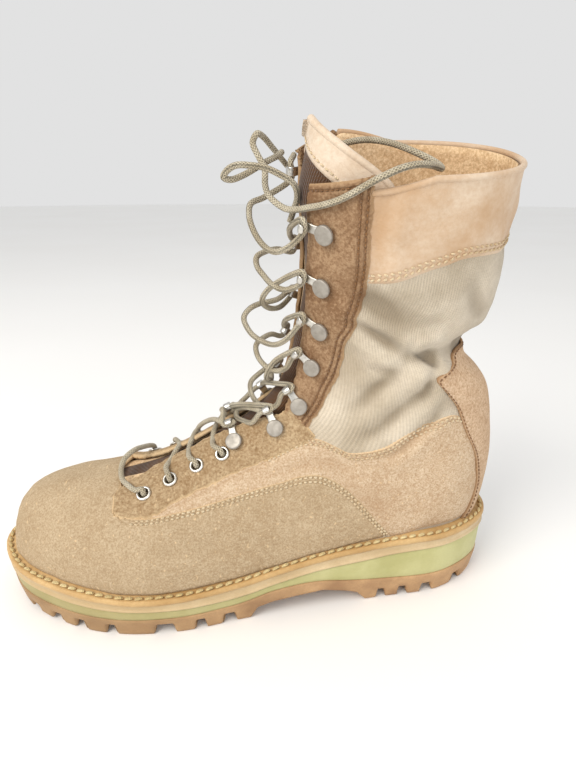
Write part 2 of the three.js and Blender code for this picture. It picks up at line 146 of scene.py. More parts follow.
def weltAngle(u, side):
    # how far round a section stays above the welt, in degrees
    degrees = np.linspace(0, 180, 721)
    points = skin(np.asarray(u)[..., None], side * degrees)
    below = points[..., 2] < weltTop(points[..., 0]) - 1.2
    first = np.argmax(below, -1)
    return np.where(below.any(-1), degrees[first], 180)


def innerSide(curve):
    # the same line on the inner side: turned across the ridge, and a little higher up the shaft
    curve = np.asarray(curve, float)
    u, degrees = curve[:, 0], curve[:, 1]
    front = np.clip((120 - degrees) / 60, 0, 1)
    rise = np.clip((u - 11) / 7.5, 0, 1) * front
    turned = upper["innerTurn"] * front - degrees
    return np.stack([np.minimum(u + upper["innerRise"] * rise, collarRow(turned) - 0.08), turned], -1)


# curves and grids
def ramp(value, low, high):
    # 0 up to low, 1 from high, and 3t squared less 2t cubed between
    t = np.clip((value - low) / (high - low), 0, 1)
    return t * t * (3 - 2 * t)


def smoothCurve(points, count=240):
    # many points of the smooth line through a few
    points = np.asarray(points, float)
    return smoothRows(points, np.linspace(0, len(points) - 1, count))


def lengths(points):
    # distance covered along a line of points
    return np.concatenate([[0], np.cumsum(np.linalg.norm(np.diff(points, axis=0), axis=1))])


def spaced(curve, shares):
    # points of a line in (row, degrees) at shares of its length on the last
    fine = smoothCurve(curve)
    run = lengths(skin(fine[:, 0], fine[:, 1]))
    return np.stack([np.interp(np.asarray(shares) * run[-1], run, fine[:, k]) for k in (0, 1)], -1)


def clustered(count, strength=0.9):
    # 0 to 1, closer together towards both ends
    t = np.linspace(0, 1, count)
    return t - strength * np.sin(2 * np.pi * t) / (2 * np.pi)


def gridFaces(rows, columns, wrapRows=False, wrapColumns=False, start=0):
    # four-cornered faces between neighbours of a grid, going round where it wraps
    i = np.arange(rows if wrapRows else rows - 1)[:, None]
    j = np.arange(columns if wrapColumns else columns - 1)[None, :]
    a = i * columns + j
    b = i * columns + (j + 1) % columns
    c = ((i + 1) % rows) * columns + (j + 1) % columns
    d = ((i + 1) % rows) * columns + j
    return np.stack([a, b, c, d], -1).reshape(-1, 4) + start


def makeObject(name, vertices, faces, material, node, attributes=None, uv=None, caps=(), outside=None):
    # vertices in millimetres; faces as rows of four; caps as lists of vertex numbers.
    # A sheet is turned to face 'outside' (a direction for each vertex); a closed piece faces outwards.
    faces = np.asarray(faces)
    if outside is not None:
        corner = np.asarray(vertices)[faces]
        facing = np.cross(corner[:, 2] - corner[:, 0], corner[:, 3] - corner[:, 1])
        if (facing * np.asarray(outside).reshape(-1, 3)[faces[:, 0]]).sum() < 0:
            faces = faces[:, ::-1]
    mesh = bpy.data.meshes.new(name)
    sizes = np.concatenate([np.full(len(faces), 4), [len(c) for c in caps]]).astype(np.int32)
    loops = np.concatenate([np.asarray(faces).ravel(), *[np.asarray(c) for c in caps]]).astype(np.int32)
    mesh.vertices.add(len(vertices))
    mesh.vertices.foreach_set("co", (np.asarray(vertices, float) * 0.001).ravel())
    mesh.loops.add(len(loops))
    mesh.loops.foreach_set("vertex_index", loops)
    mesh.polygons.add(len(sizes))
    mesh.polygons.foreach_set("loop_start", np.concatenate([[0], np.cumsum(sizes)[:-1]]).astype(np.int32))
    mesh.update(calc_edges=True)
    mesh.validate()
    mesh.shade_smooth()
    for key, values in (attributes or {}).items():
        layer = mesh.attributes.new(key, "FLOAT", "POINT")
        layer.data.foreach_set("value", np.asarray(values, float).ravel())
    if uv is not None:
        layer = mesh.uv_layers.new(name="millimetres")
        layer.data.foreach_set("uv", np.asarray(uv, float).reshape(-1, 2)[loops].ravel())
    if outside is None:
        shape = bmesh.new()
        shape.from_mesh(mesh)
        bmesh.ops.recalc_face_normals(shape, faces=shape.faces)
        shape.to_mesh(mesh)
        shape.free()
    mesh.materials.append(material)
    piece = bpy.data.objects.new(name, mesh)
    bpy.context.scene.collection.objects.link(piece)
    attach(piece, "root")
    if node:
        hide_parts(*([node] if isinstance(node, str) else node))
    return piece


def endCaps(rings, count):
    # the two faces that close a stack of rings
    last = (rings - 1) * count
    return [list(range(count)), [last + count - 1 - k for k in range(count)]]


def plain(shape):
    # attributes of a piece with no painted crease shade and no worn edge nearby
    return {"edge": np.full(shape, 9.0), "paintedCreaseShade": np.zeros(shape)}


def joined(parts):
    # one set of vertices and faces from many
    vertices, faces, start = [], [], 0
    for points, quads in parts:
        vertices.append(points)
        faces.append(quads + start)
        start += len(points)
    return np.concatenate(vertices), np.concatenate(faces)


def solidify(piece, thickness):
    # thickness added behind the outer face
    thicken = piece.modifiers.new("thickness", "SOLIDIFY")
    thicken.thickness = thickness * 0.001
    thicken.offset = -1
    return piece


# materials
def linear(hexColor):
    # an sRGB hex colour as linear light: a power of 2.4, and a straight line near black
    value = np.array([int(hexColor[k:k + 2], 16) / 255 for k in (1, 3, 5)])
    value = np.where(value <= 0.04045, value / 12.92, ((value + 0.055) / 1.055) ** 2.4)
    return (*value, 1.0)


def addNode(tree, kind, settings=None, inputs=None):
    # a node with its settings; an input is a value, or the socket that feeds it
    node = tree.nodes.new("ShaderNode" + kind)
    for key, value in (settings or {}).items():
        setattr(node, key, value)
    for key, value in (inputs or {}).items():
        if isinstance(value, bpy.types.NodeSocket):
            tree.links.new(value, node.inputs[key])
        else:
            node.inputs[key].default_value = value
    return node


def newMaterial(name, roughness, metallic=0.0, **sockets):
    # a material whose fixed values sit on the shader itself
    material = bpy.data.materials.new(name)
    material.use_nodes = True
    shader = material.node_tree.nodes["Principled BSDF"]
    shader.inputs["Roughness"].default_value = roughness
    shader.inputs["Metallic"].default_value = metallic
    for key, value in sockets.items():
        shader.inputs[key].default_value = value
    return material, material.node_tree, shader


def painted(tree, under, over, mask, low, high, start=0.0, end=1.0):
    # one colour over another: the cover goes from 'start' to 'end' as the mask goes from low to high
    cover = addNode(tree, "MapRange", {}, {0: mask, 1: low, 2: high, 3: start, 4: end}).outputs[0]
    return addNode(tree, "Mix", {"data_type": "RGBA"}, {0: cover, 6: under, 7: over}).outputs[2]


def bumped(tree, shader, layers):
    # bumps on top of each other: (height socket, height in millimetres)
    normal = None
    for height, millimetres in layers:
        inputs = {"Height": height, "Strength": 1.0, "Distance": millimetres * 0.001}
        if normal is not None:
            inputs["Normal"] = normal
        normal = addNode(tree, "Bump", {}, inputs).outputs["Normal"]
    tree.links.new(normal, shader.inputs["Normal"])


def suede(name, base, light, dark, napMillimetres=1.1, nap=0.5, patches=0.5, fray="#e3c69c"):
    # rough-out cowhide, its fibres brushed both ways: matt, mottled, pale where edges fray or painted dark
    # there as shadow, with painted shade in folds and grooves
    material, tree, shader = newMaterial(name, 0.93, **{
        "Sheen Weight": 0.22, "Sheen Roughness": 0.45, "Sheen Tint": linear(light),
        "Specular IOR Level": 0.2})
    place = addNode(tree, "TexCoord").outputs["Object"]
    edge = addNode(tree, "Attribute", {"attribute_name": "edge"}).outputs["Fac"]
    paintedCreaseShade = addNode(tree, "Attribute", {"attribute_name": "paintedCreaseShade"}).outputs["Fac"]
    fibres = addNode(tree, "TexNoise", {}, {
        "Vector": place, "Scale": 1000 / napMillimetres, "Detail": 4, "Roughness": 0.7}).outputs["Fac"]
    grit = addNode(tree, "TexNoise", {}, {
        "Vector": place, "Scale": 1000 / (napMillimetres * 3.2), "Detail": 5,
        "Roughness": 0.65}).outputs["Fac"]
    cloud = addNode(tree, "TexNoise", {}, {
        "Vector": place, "Scale": 1000 / 26, "Detail": 4, "Roughness": 0.55}).outputs["Fac"]
    color = painted(tree, linear(dark), linear(light), cloud, 0.36, 0.64)
    color = addNode(tree, "Mix", {"data_type": "RGBA"}, {0: patches, 6: linear(base), 7: color}).outputs[2]
    color = painted(tree, color, linear(light), grit, 0.45, 0.65, 0, 0.5)
    color = painted(tree, color, linear(dark), fibres, 0.34, 0.56, 0.8, 0)
    color = painted(tree, color, linear(light), fibres, 0.54, 0.7, 0, 0.8)
    drawn = addNode(tree, "Mapping", {}, {0: place, "Rotation": (0.5, 0.35, 0.9),
                                          "Scale": (1.0, 0.13, 1.0)}).outputs[0]
    scuffs = addNode(tree, "TexNoise", {}, {
        "Vector": drawn, "Scale": 1000 / 1.9, "Detail": 2, "Roughness": 0.5}).outputs["Fac"]
    color = painted(tree, color, linear(fray), scuffs, 0.66, 0.73, 0, 0.55)
    # edges take the fray colour: pale wear where it is light; where it is dark, as on the backstay, it is
    # painted shadow along the edge
    color = painted(tree, color, linear(fray), edge, 0.2, 1.5, 0.75, 0)
    # painted shade in the folds and seam grooves
    color = painted(tree, color, linear(dark), paintedCreaseShade, 0.1, 2.4, 0, 0.75)
    tree.links.new(color, shader.inputs["Base Color"])
    bumped(tree, shader, [(grit, nap * 1.1), (fibres, nap)])
    return material


def smoothLeather(name, base, light, dark, paintedFrontShade=0.0):
    # full-grain collar leather, lightly oiled: fine pores, low satin gloss, painted shade in folds and
    # towards the front
    material, tree, shader = newMaterial(name, 0.6, **{"Specular IOR Level": 0.35, "Sheen Weight": 0.08})
    place = addNode(tree, "TexCoord").outputs["Object"]
    paintedCreaseShade = addNode(tree, "Attribute", {"attribute_name": "paintedCreaseShade"}).outputs["Fac"]
    grain = addNode(tree, "TexVoronoi", {"feature": "DISTANCE_TO_EDGE"},
                    {"Vector": place, "Scale": 1000 / 1.5}).outputs["Distance"]
    pores = addNode(tree, "MapRange", {}, {0: grain, 1: 0, 2: 0.25}).outputs[0]
    cloud = addNode(tree, "TexNoise", {}, {
        "Vector": place, "Scale": 1000 / 30, "Detail": 4, "Roughness": 0.5}).outputs["Fac"]
    fleck = addNode(tree, "TexNoise", {}, {
        "Vector": place, "Scale": 1000 / 2.2, "Detail": 4, "Roughness": 0.6}).outputs["Fac"]
    color = painted(tree, linear(dark), linear(light), cloud, 0.36, 0.64)
    color = addNode(tree, "Mix", {"data_type": "RGBA"}, {0: 0.55, 6: linear(base), 7: color}).outputs[2]
    color = painted(tree, color, linear(dark), fleck, 0.35, 0.65, 0.3, 0)
    # painted shade in the folds and seam grooves
    color = painted(tree, color, linear(dark), paintedCreaseShade, 0.1, 1.6, 0, 0.4)
    # painted shade: darker towards the front, beside the eyestay, by the amount given
    forward = addNode(tree, "SeparateXYZ", {}, {0: place}).outputs["X"]
    color = painted(tree, color, linear(dark), forward, 0.02, 0.062, 0, paintedFrontShade)
    tree.links.new(color, shader.inputs["Base Color"])
    bumped(tree, shader, [(fleck, 0.12), (pores, 0.05)])
    return material


def woven(name, base, light, dark, pitch, roughness=0.85, depth=0.18):
    # plain-woven nylon: ribs along the cloth crossed by finer picks, threads drawn at 'pitch' mm, painted
    # shade in folds
    material, tree, shader = newMaterial(name, roughness, **{"Sheen Weight": 0.2, "Specular IOR Level": 0.3})
    flat = addNode(tree, "UVMap", {"uv_map": "millimetres"}).outputs["UV"]
    place = addNode(tree, "TexCoord").outputs["Object"]
    paintedCreaseShade = addNode(tree, "Attribute", {"attribute_name": "paintedCreaseShade"}).outputs["Fac"]
    turns = 2 * math.pi / pitch
    parts = addNode(tree, "SeparateXYZ", {}, {0: flat})
    warp = addNode(tree, "Math", {"operation": "MULTIPLY"}, {0: parts.outputs["X"], 1: turns}).outputs[0]
    weft = addNode(tree, "Math", {"operation": "MULTIPLY"}, {0: parts.outputs["Y"], 1: turns}).outputs[0]
    sineA = addNode(tree, "Math", {"operation": "SINE"}, {0: warp}).outputs[0]
    sineB = addNode(tree, "Math", {"operation": "SINE"}, {0: weft}).outputs[0]
    product = addNode(tree, "Math", {"operation": "MULTIPLY"}, {0: sineA, 1: sineB}).outputs[0]
    soft = addNode(tree, "Math", {"operation": "MULTIPLY"}, {0: product, 1: 0.45}).outputs[0]
    ribs = addNode(tree, "Math", {"operation": "MULTIPLY_ADD"}, {0: sineA, 1: 0.9, 2: soft}).outputs[0]
    cloud = addNode(tree, "TexNoise", {}, {
        "Vector": place, "Scale": 1000 / 34, "Detail": 3, "Roughness": 0.5}).outputs["Fac"]
    fleck = addNode(tree, "TexNoise", {}, {
        "Vector": place, "Scale": 1000 / 1.6, "Detail": 3, "Roughness": 0.6}).outputs["Fac"]
    color = painted(tree, linear(dark), linear(light), cloud, 0.35, 0.65)
    color = addNode(tree, "Mix", {"data_type": "RGBA"}, {0: 0.45, 6: linear(base), 7: color}).outputs[2]
    color = painted(tree, color, linear(dark), ribs, -1.4, 0.2, 0.28, 0)
    color = painted(tree, color, linear(dark), fleck, 0.35, 0.62, 0.18, 0)
    # painted shade in the folds
    color = painted(tree, color, linear(dark), paintedCreaseShade, 0.1, 2.4, 0, 0.85)
    tree.links.new(color, shader.inputs["Base Color"])
    bumped(tree, shader, [(ribs, depth), (fleck, 0.08)])
    return material


def rubber(name, base, light, dark, roughness, mottle=0.4, speckle=0.1, grime="#8a6f4b"):
    # moulded rubber or foam: even, faintly mottled, with a dull shine, and grimy towards the toe
    material, tree, shader = newMaterial(name, roughness, **{"Specular IOR Level": 0.4})
    place = addNode(tree, "TexCoord").outputs["Object"]
    cloud = addNode(tree, "TexNoise", {}, {
        "Vector": place, "Scale": 1000 / 22, "Detail": 4, "Roughness": 0.5}).outputs["Fac"]
    grain = addNode(tree, "TexNoise", {}, {
        "Vector": place, "Scale": 1000 / 1.3, "Detail": 3, "Roughness": 0.6}).outputs["Fac"]
    color = painted(tree, linear(dark), linear(light), cloud, 0.36, 0.64)
    color = addNode(tree, "Mix", {"data_type": "RGBA"}, {0: mottle, 6: linear(base), 7: color}).outputs[2]
    color = painted(tree, color, linear(dark), grain, 0.3, 0.6, speckle * 2, 0)
    forward = addNode(tree, "SeparateXYZ", {}, {0: place}).outputs["X"]
    color = painted(tree, color, linear(grime), forward, 0.06, 0.2, 0, 0.5)
    tree.links.new(color, shader.inputs["Base Color"])
    bumped(tree, shader, [(grain, speckle)])
    return material


def metal(name, color, roughness, dull):
    # plated steel fitting, tumbled: soft reflections, handled edges
    material, tree, shader = newMaterial(name, roughness, 1.0 if not dull else 0.55)
    place = addNode(tree, "TexCoord").outputs["Object"]
    cloud = addNode(tree, "TexNoise", {}, {
        "Vector": place, "Scale": 1000 / 3.2, "Detail": 4, "Roughness": 0.5}).outputs["Fac"]
    dark = linear("#6f685f")
    tree.links.new(painted(tree, linear(color), dark, cloud, 0.4, 0.7, 0, 0.35), shader.inputs["Base Color"])
    gloss = addNode(tree, "MapRange", {}, {0: cloud, 1: 0.3, 2: 0.7, 3: roughness - 0.08,
                                           4: roughness + 0.12})
    tree.links.new(gloss.outputs[0], shader.inputs["Roughness"])
    scratches = addNode(tree, "TexNoise", {}, {
        "Vector": place, "Scale": 1000 / 0.8, "Detail": 2, "Roughness": 0.5}).outputs["Fac"]
    bumped(tree, shader, [(scratches, 0.02)])
    return material


def braided(name, base, light, dark):
    # round polyester lace: strands crossing both ways round a core, about 2 mm to a turn
    material, tree, shader = newMaterial(name, 0.8, **{"Sheen Weight": 0.25, "Specular IOR Level": 0.35})
    flat = addNode(tree, "UVMap", {"uv_map": "millimetres"}).outputs["UV"]
    place = addNode(tree, "TexCoord").outputs["Object"]
    parts = addNode(tree, "SeparateXYZ", {}, {0: flat})
    waves = []
    for sign in (1, -1):
        mixed = addNode(tree, "Math", {"operation": "MULTIPLY_ADD"},
                        {0: parts.outputs["Y"], 1: sign * 1.0, 2: parts.outputs["X"]}).outputs[0]
        phase = addNode(tree, "Math", {"operation": "MULTIPLY"}, {0: mixed, 1: 2 * math.pi / 1.57}).outputs[0]
        waves.append(addNode(tree, "Math", {"operation": "SINE"}, {0: phase}).outputs[0])
    strands = addNode(tree, "Math", {"operation": "MAXIMUM"}, {0: waves[0], 1: waves[1]}).outputs[0]
    cloud = addNode(tree, "TexNoise", {}, {
        "Vector": place, "Scale": 1000 / 9, "Detail": 3, "Roughness": 0.5}).outputs["Fac"]
    fuzz = addNode(tree, "TexNoise", {}, {
        "Vector": place, "Scale": 1000 / 0.9, "Detail": 3, "Roughness": 0.6}).outputs["Fac"]
    color = painted(tree, linear(base), linear(light), cloud, 0.38, 0.62)
    color = painted(tree, color, linear(dark), strands, -0.2, 0.75, 0.6, 0)
    color = painted(tree, color, linear(dark), fuzz, 0.35, 0.6, 0.25, 0)
    tree.links.new(color, shader.inputs["Base Color"])
    bumped(tree, shader, [(strands, 0.35), (fuzz, 0.1)])
    return material


finish = {
    "vamp": suede("rough-out suede, sand", "#b7a183", "#c4b194", "#977e5e", 1.0, 0.32, 0.35),
    "quarter": suede("rough-out suede, orange tan", "#c9b093", "#d9c6ab", "#a48361", 1.0, 0.42, 0.3),
    "facing": suede("rough-out suede, coarse", "#b39774", "#c5ae8c", "#856846", 1.5, 0.85, 0.4),
    "eyestay": suede("brushed suede, brown tan", "#9a795a", "#ad9071", "#73543a", 1.7, 0.5, 0.7, "#b0916e"),
    # the backstay's edge colour, its last value, is dark: painted shadow along its thick edge
    "backstay": suede("rough-out suede, heel", "#caab8c", "#d9c0a3", "#a17e5c", 1.2, 0.4, 0.35, "#8a6540"),
    # the collar's last value darkens its front beside the eyestay: painted shade
    "collar": smoothLeather("full-grain collar leather", "#d2bca2", "#decfbb", "#b1895f", 0.6),
    "lining": suede("split suede lining", "#e2c095", "#f3d8b2", "#b28e66", 1.4, 0.3, 0.5),
    "canvas": woven("woven nylon canvas", "#cfc1aa", "#e5dac9", "#8e7f69", 1.1, 0.85, 0.13),
    "mesh": woven("woven tongue mesh", "#5d3f28", "#74512f", "#2f1d10", 1.7, 0.8, 0.22),
    "binding": smoothLeather("rolled binding leather", "#d2bfa7", "#dfd1c0", "#af906f"),
    "welt": smoothLeather("waxed welt leather", "#c8a36c", "#d7b784", "#a27b47"),
    "rand": rubber("beige rubber rand", "#ccb48c", "#dcc8a4", "#aa8f66", 0.36, grime="#b2986d"),
    "midsole": rubber("yellow-green polyurethane foam", "#bbb880", "#c8c491", "#a39e64", 0.5, 0.5, 0.06,
                      "#8f774b"),
    "outsole": rubber("tan-brown outsole rubber", "#b89066", "#c9a479", "#886547", 0.62, 0.6, 0.12),
    "thread": woven("bonded polyester thread", "#ecd9b6", "#fbeccd", "#c4a373", 0.7),
    "darkThread": woven("brown thread", "#8d6238", "#a67a4c", "#5a3b1e", 0.7),
    "weltThread": woven("waxed cream thread", "#e6d197", "#f1e0b0", "#b3925a", 0.8),
    "hook": metal("dull plated steel", "#a59f96", 0.5, True),
    "strip": metal("bright plated steel", "#d6d3cc", 0.3, False),
    "eyelet": metal("bright rolled aluminium", "#dedad2", 0.28, False),
    "lace": braided("round braided polyester lace", "#c0b295", "#dbd0b6", "#786a51"),
    "insole": woven("footbed fabric", "#a98c66", "#bda27b", "#7a6142", 1.4),
}
print("materials ready")

# camera, light and floor
view = {"place": (0.1075, 0.2865, 0.2414), "azimuth": 172.8, "elevation": 21.11, "roll": -0.2,
        "focal": 24.6, "shift": -0.036}


def addCamera():
    # placed and turned by 'view', in degrees and metres
    azimuth, elevation = math.radians(view["azimuth"]), math.radians(view["elevation"])
    camera = bpy.data.objects.new("camera", bpy.data.cameras.new("camera"))
    camera.data.sensor_width = 36
    camera.data.lens = view["focal"]
    camera.data.shift_x = view["shift"]
    camera.data.clip_start = 0.01
    camera.location = view["place"]
    camera.rotation_mode = "XYZ"
    # from straight down: tilt up to the horizon, roll, then turn to the azimuth
    camera.rotation_euler = (math.pi / 2 - elevation, math.radians(view["roll"]), azimuth)
    bpy.context.scene.collection.objects.link(camera)
    bpy.context.scene.camera = camera


def addLight(name, place, target, size, power, color="#ffffff"):
    # a square lamp turned to face its target
    lamp = bpy.data.objects.new(name, bpy.data.lights.new(name, "AREA"))
    lamp.data.size = size
    lamp.data.energy = power
    lamp.data.color = linear(color)[:3]
    lamp.location = place
    away = np.array(place) - np.array(target)
    azimuth = math.atan2(away[0], -away[1])
    tilt = math.atan2(math.hypot(away[0], away[1]), away[2])
    lamp.rotation_euler = (tilt, 0, azimuth)
    bpy.context.scene.collection.objects.link(lamp)


def addStage():
    # a floor disc, and a plain pale surround
    radius, segments = 6000.0, 96
    angle = np.linspace(0, 2 * np.pi, segments, endpoint=False)
    disc = np.stack([radius * np.cos(angle), radius * np.sin(angle), 0 * angle], -1)
    material, tree, shader = newMaterial("matt white floor", 0.9)
    place = addNode(tree, "TexCoord").outputs["Object"]
    cloud = addNode(tree, "TexNoise", {}, {
        "Vector": place, "Scale": 1000 / 400, "Detail": 2, "Roughness": 0.5}).outputs["Fac"]
    color = addNode(tree, "Mix", {"data_type": "RGBA"},
                    {0: cloud, 6: linear("#f4f3f1"), 7: linear("#f8f8f7")})
    tree.links.new(color.outputs[2], shader.inputs["Base Color"])
    mesh = bpy.data.meshes.new("floor")
    mesh.from_pydata((disc * 0.001).tolist(), [], [list(range(segments))])
    mesh.materials.append(material)
    floor = bpy.data.objects.new("floor", mesh)
    bpy.context.scene.collection.objects.link(floor)
    world = bpy.data.worlds.new("surround")
    bpy.context.scene.world = world
    world.use_nodes = True
    world.node_tree.nodes["Background"].inputs["Color"].default_value = linear("#ffffff")
    world.node_tree.nodes["Background"].inputs["Strength"].default_value = 0.76


addCamera()
addStage()
addLight("window", (0.9, 0.7, 1.1), (0.1, 0, 0.12), 0.8, 15, "#fffaf2")
addLight("fill", (-0.6, 1.1, 0.6), (0.05, 0, 0.12), 1.0, 4, "#fbfcff")
bpy.context.scene.view_settings.view_transform = "Standard"

# creases: troughs, each a line in (row, degrees) with its depth and width
creases = [
    # forefoot, across the flex line
    [[(5.6, 62), (6.6, 78)], 0.8, 5], [[(6.4, 64), (7.2, 84)], 0.7, 6], [[(4.2, 30), (4.6, 62)], 0.4, 6],
    [[(5.6, -62), (6.6, -78)], 0.8, 5], [[(6.4, -64), (7.2, -84)], 0.7, 6],
    # quarter below the ankle
    [[(9.4, 60), (9.6, 74), (10.0, 88)], 1.0, 5], [[(9.9, 96), (10.7, 120)], 0.7, 6],
    [[(8.2, 52), (9.2, 56), (9.9, 66)], 1.0, 4.5],
    # canvas on the outer side of the ankle
    [[(14.4, 56), (14.2, 68), (14.0, 82)], 3.2, 4], [[(16.7, 60), (16.1, 76), (15.2, 97)], 3.8, 8],
    [[(15.1, 124), (14.7, 108), (14.35, 96), (14.0, 86)], 5.4, 4.6],
    [[(13.9, 98), (13.2, 92), (12.6, 84)], 2.4, 3.6],
    [[(10.2, 58), (11.6, 70), (13.2, 90)], 2.2, 4.0], [[(11.0, 54), (12.3, 66), (13.6, 82)], 2.7, 4.4],
    [[(10.6, 70), (11.8, 82), (12.8, 98)], 1.8, 3.0], [[(12.4, 60), (12.9, 68), (13.2, 76)], 1.8, 3],
    [[(17.2, 74), (16.8, 92), (16.4, 118)], 1.4, 6], [[(18.2, 120), (17.4, 132), (16.8, 150)], 1.6, 6],
    [[(10.4, -52), (11.6, -70), (12.6, -92)], 2.0, 4], [[(13.0, -56), (13.8, -84), (14.4, -110)], 2.2, 5],
    [[(15.2, -66), (15.6, -100), (15.9, -140)], 2.0, 6], [[(11.4, -56), (12.6, -72), (13.4, -92)], 2.0, 3.6],
    # canvas tucked in at the back above the heel
    [[(15.0, 112), (14.3, 105), (13.7, 99)], 2.4, 3.6],
    [[(15.9, 150), (15.5, 170), (15.5, 190), (15.9, 210)], 1.6, 7],
    [[(15.2, 128), (15.8, 146), (16.2, 170)], 2.2, 6],
    # collar
    [[(17.3, 70), (18.6, 68), (19.9, 70)], 1.0, 4],
    [[(18.4, 70), (19.2, 66), (19.9, 70)], 0.7, 4], [[(19.3, 140), (19.0, 160), (19.2, 185)], 1.4, 8],
]
undulation = {"height": 0.22, "length": 17}


def segmentDistance(points, start, end):
    # distance from a segment, and how far along it the nearest point lies
    along = end - start
    share = np.clip(((points - start) @ along) / (along @ along), 0, 1)
    return np.linalg.norm(points - start - share[..., None] * along, axis=-1), share


def relief(points):
    # each crease is a Gaussian trough round its line, with a lower ridge beside it
    depth = np.zeros(points.shape[:-1])
    for line, deep, width in creases:
        path = smoothCurve(line, 14)
        path = skin(path[:, 0], path[:, 1])
        near = np.full(depth.shape, 1e9)
        at = np.zeros(depth.shape)
        for k in range(len(path) - 1):
            distance, share = segmentDistance(points, path[k], path[k + 1])
            at = np.where(distance < near, (k + share) / (len(path) - 1), at)
            near = np.minimum(near, distance)
        fade = np.sin(np.pi * np.clip(at, 0.04, 0.96)) ** 0.6
        beside = (near - 2.1 * width) / width
        depth += deep * fade * (np.exp(-(near / width) ** 2) - 0.45 * np.exp(-beside ** 2))
    return depth


waveDirections = unit(random.normal(size=(9, 3)))
wavePhases = random.uniform(0, 2 * np.pi, 9)
waveStretch = random.uniform(0.6, 1.7, 9)


def ripple(points, height, length):
    # a few sine waves in different directions, added up
    waves = np.sin((points @ waveDirections.T) * (2 * np.pi / length) * waveStretch + wavePhases)
    return height * waves.sum(-1) / 3


def ragged(count, size):
    # random offsets smoothed over neighbours
    values = random.normal(size=count + 8)
    kernel = np.hanning(5)
    return size * np.convolve(values, kernel / kernel.sum() ** 0.5, "same")[4:count + 4]


# hooks and eyelets, in the frame's own rows
outerHooks = [(18.5, 40), (16.1, 41), (12.85, 37), (11.1, 33), (9.6, 33), (8.7, 32), (7.68, 24)]
outerEyelets = [(7.38, 27), (6.83, 26.5), (6.28, 28), (5.73, 32)]
hookSize = {"cap": 4.8, "capHeight": 1.9, "plate": 1.2, "reach": 10.5, "curl": 2.9}
eyeletSize = {"flange": 4.3, "hole": 2.45, "height": 1.0, "barrel": 2.2}


def fittings(rows, name):
    # name, row, degrees and side of each; inner ones turned across the ridge and raised
    places = []
    for k, (u, degrees) in enumerate(rows):
        share = np.clip((u - 11) / 7.5, 0, 1)
        places.append((f"{name}_outer_{k + 1}", u, degrees, 1))
        places.append((f"{name}_inner_{k + 1}", u + upper["innerRise"] * share,
                       upper["innerTurn"] - degrees, -1))
    return places


leatherRise = 0.75  # how far the leather under the fittings stands off the last


def seat(u, degrees, side, lift=0.0):
    # the place's axes: towards the throat, along the boot, outwards
    normal = outward(np.array(u), np.array(float(degrees)))
    ahead = lastPoint(np.array(u), np.array(degrees - side * 1.2))
    towards = ahead - lastPoint(np.array(u), np.array(degrees * 1.0))
    towards = unit(towards - normal * (towards @ normal))
    return lastPoint(np.array(u), np.array(degrees * 1.0)) + normal * lift, np.stack(
        [towards, np.cross(normal, towards), normal])


# leather and canvas panels
def panelShape(spec):
    # rows and degrees ruled between the panel's two long sides
    along, across = spec["grid"]
    if spec.get("byRow"):
        low = max(spec["first"][0][0], spec["second"][0][0])
        high = min(spec["first"][-1][0], spec["second"][-1][0])
        rows = low + (high - low) * clustered(along, spec.get("alongStrength", 0.8))
        edges = []
        for line in (spec["first"], spec["second"]):
            fine = smoothCurve(line)
            edges.append(np.stack([rows, np.interp(rows, fine[:, 0], fine[:, 1])], -1))
        first, second = edges
    else:
        shares = clustered(along, spec.get("alongStrength", 0.8))
        first, second = spaced(spec["first"], shares), spaced(spec["second"], shares)
    t = clustered(across)[None, :, None]
    return first[:, None] * (1 - t) + second[:, None] * t


def edgeDistances(points):
    # distance of every grid point from the four sides: first, second, start, end
    stepsAcross = np.linalg.norm(np.diff(points, axis=1), axis=-1)
    fromFirst = np.concatenate([np.zeros((len(points), 1)), np.cumsum(stepsAcross, 1)], 1)
    stepsAlong = np.linalg.norm(np.diff(points, axis=0), axis=-1)
    fromStart = np.concatenate([np.zeros((1, points.shape[1])), np.cumsum(stepsAlong, 0)], 0)
    return {"first": fromFirst, "second": fromFirst[:, -1:] - fromFirst,
            "start": fromStart, "end": fromStart[-1:] - fromStart}


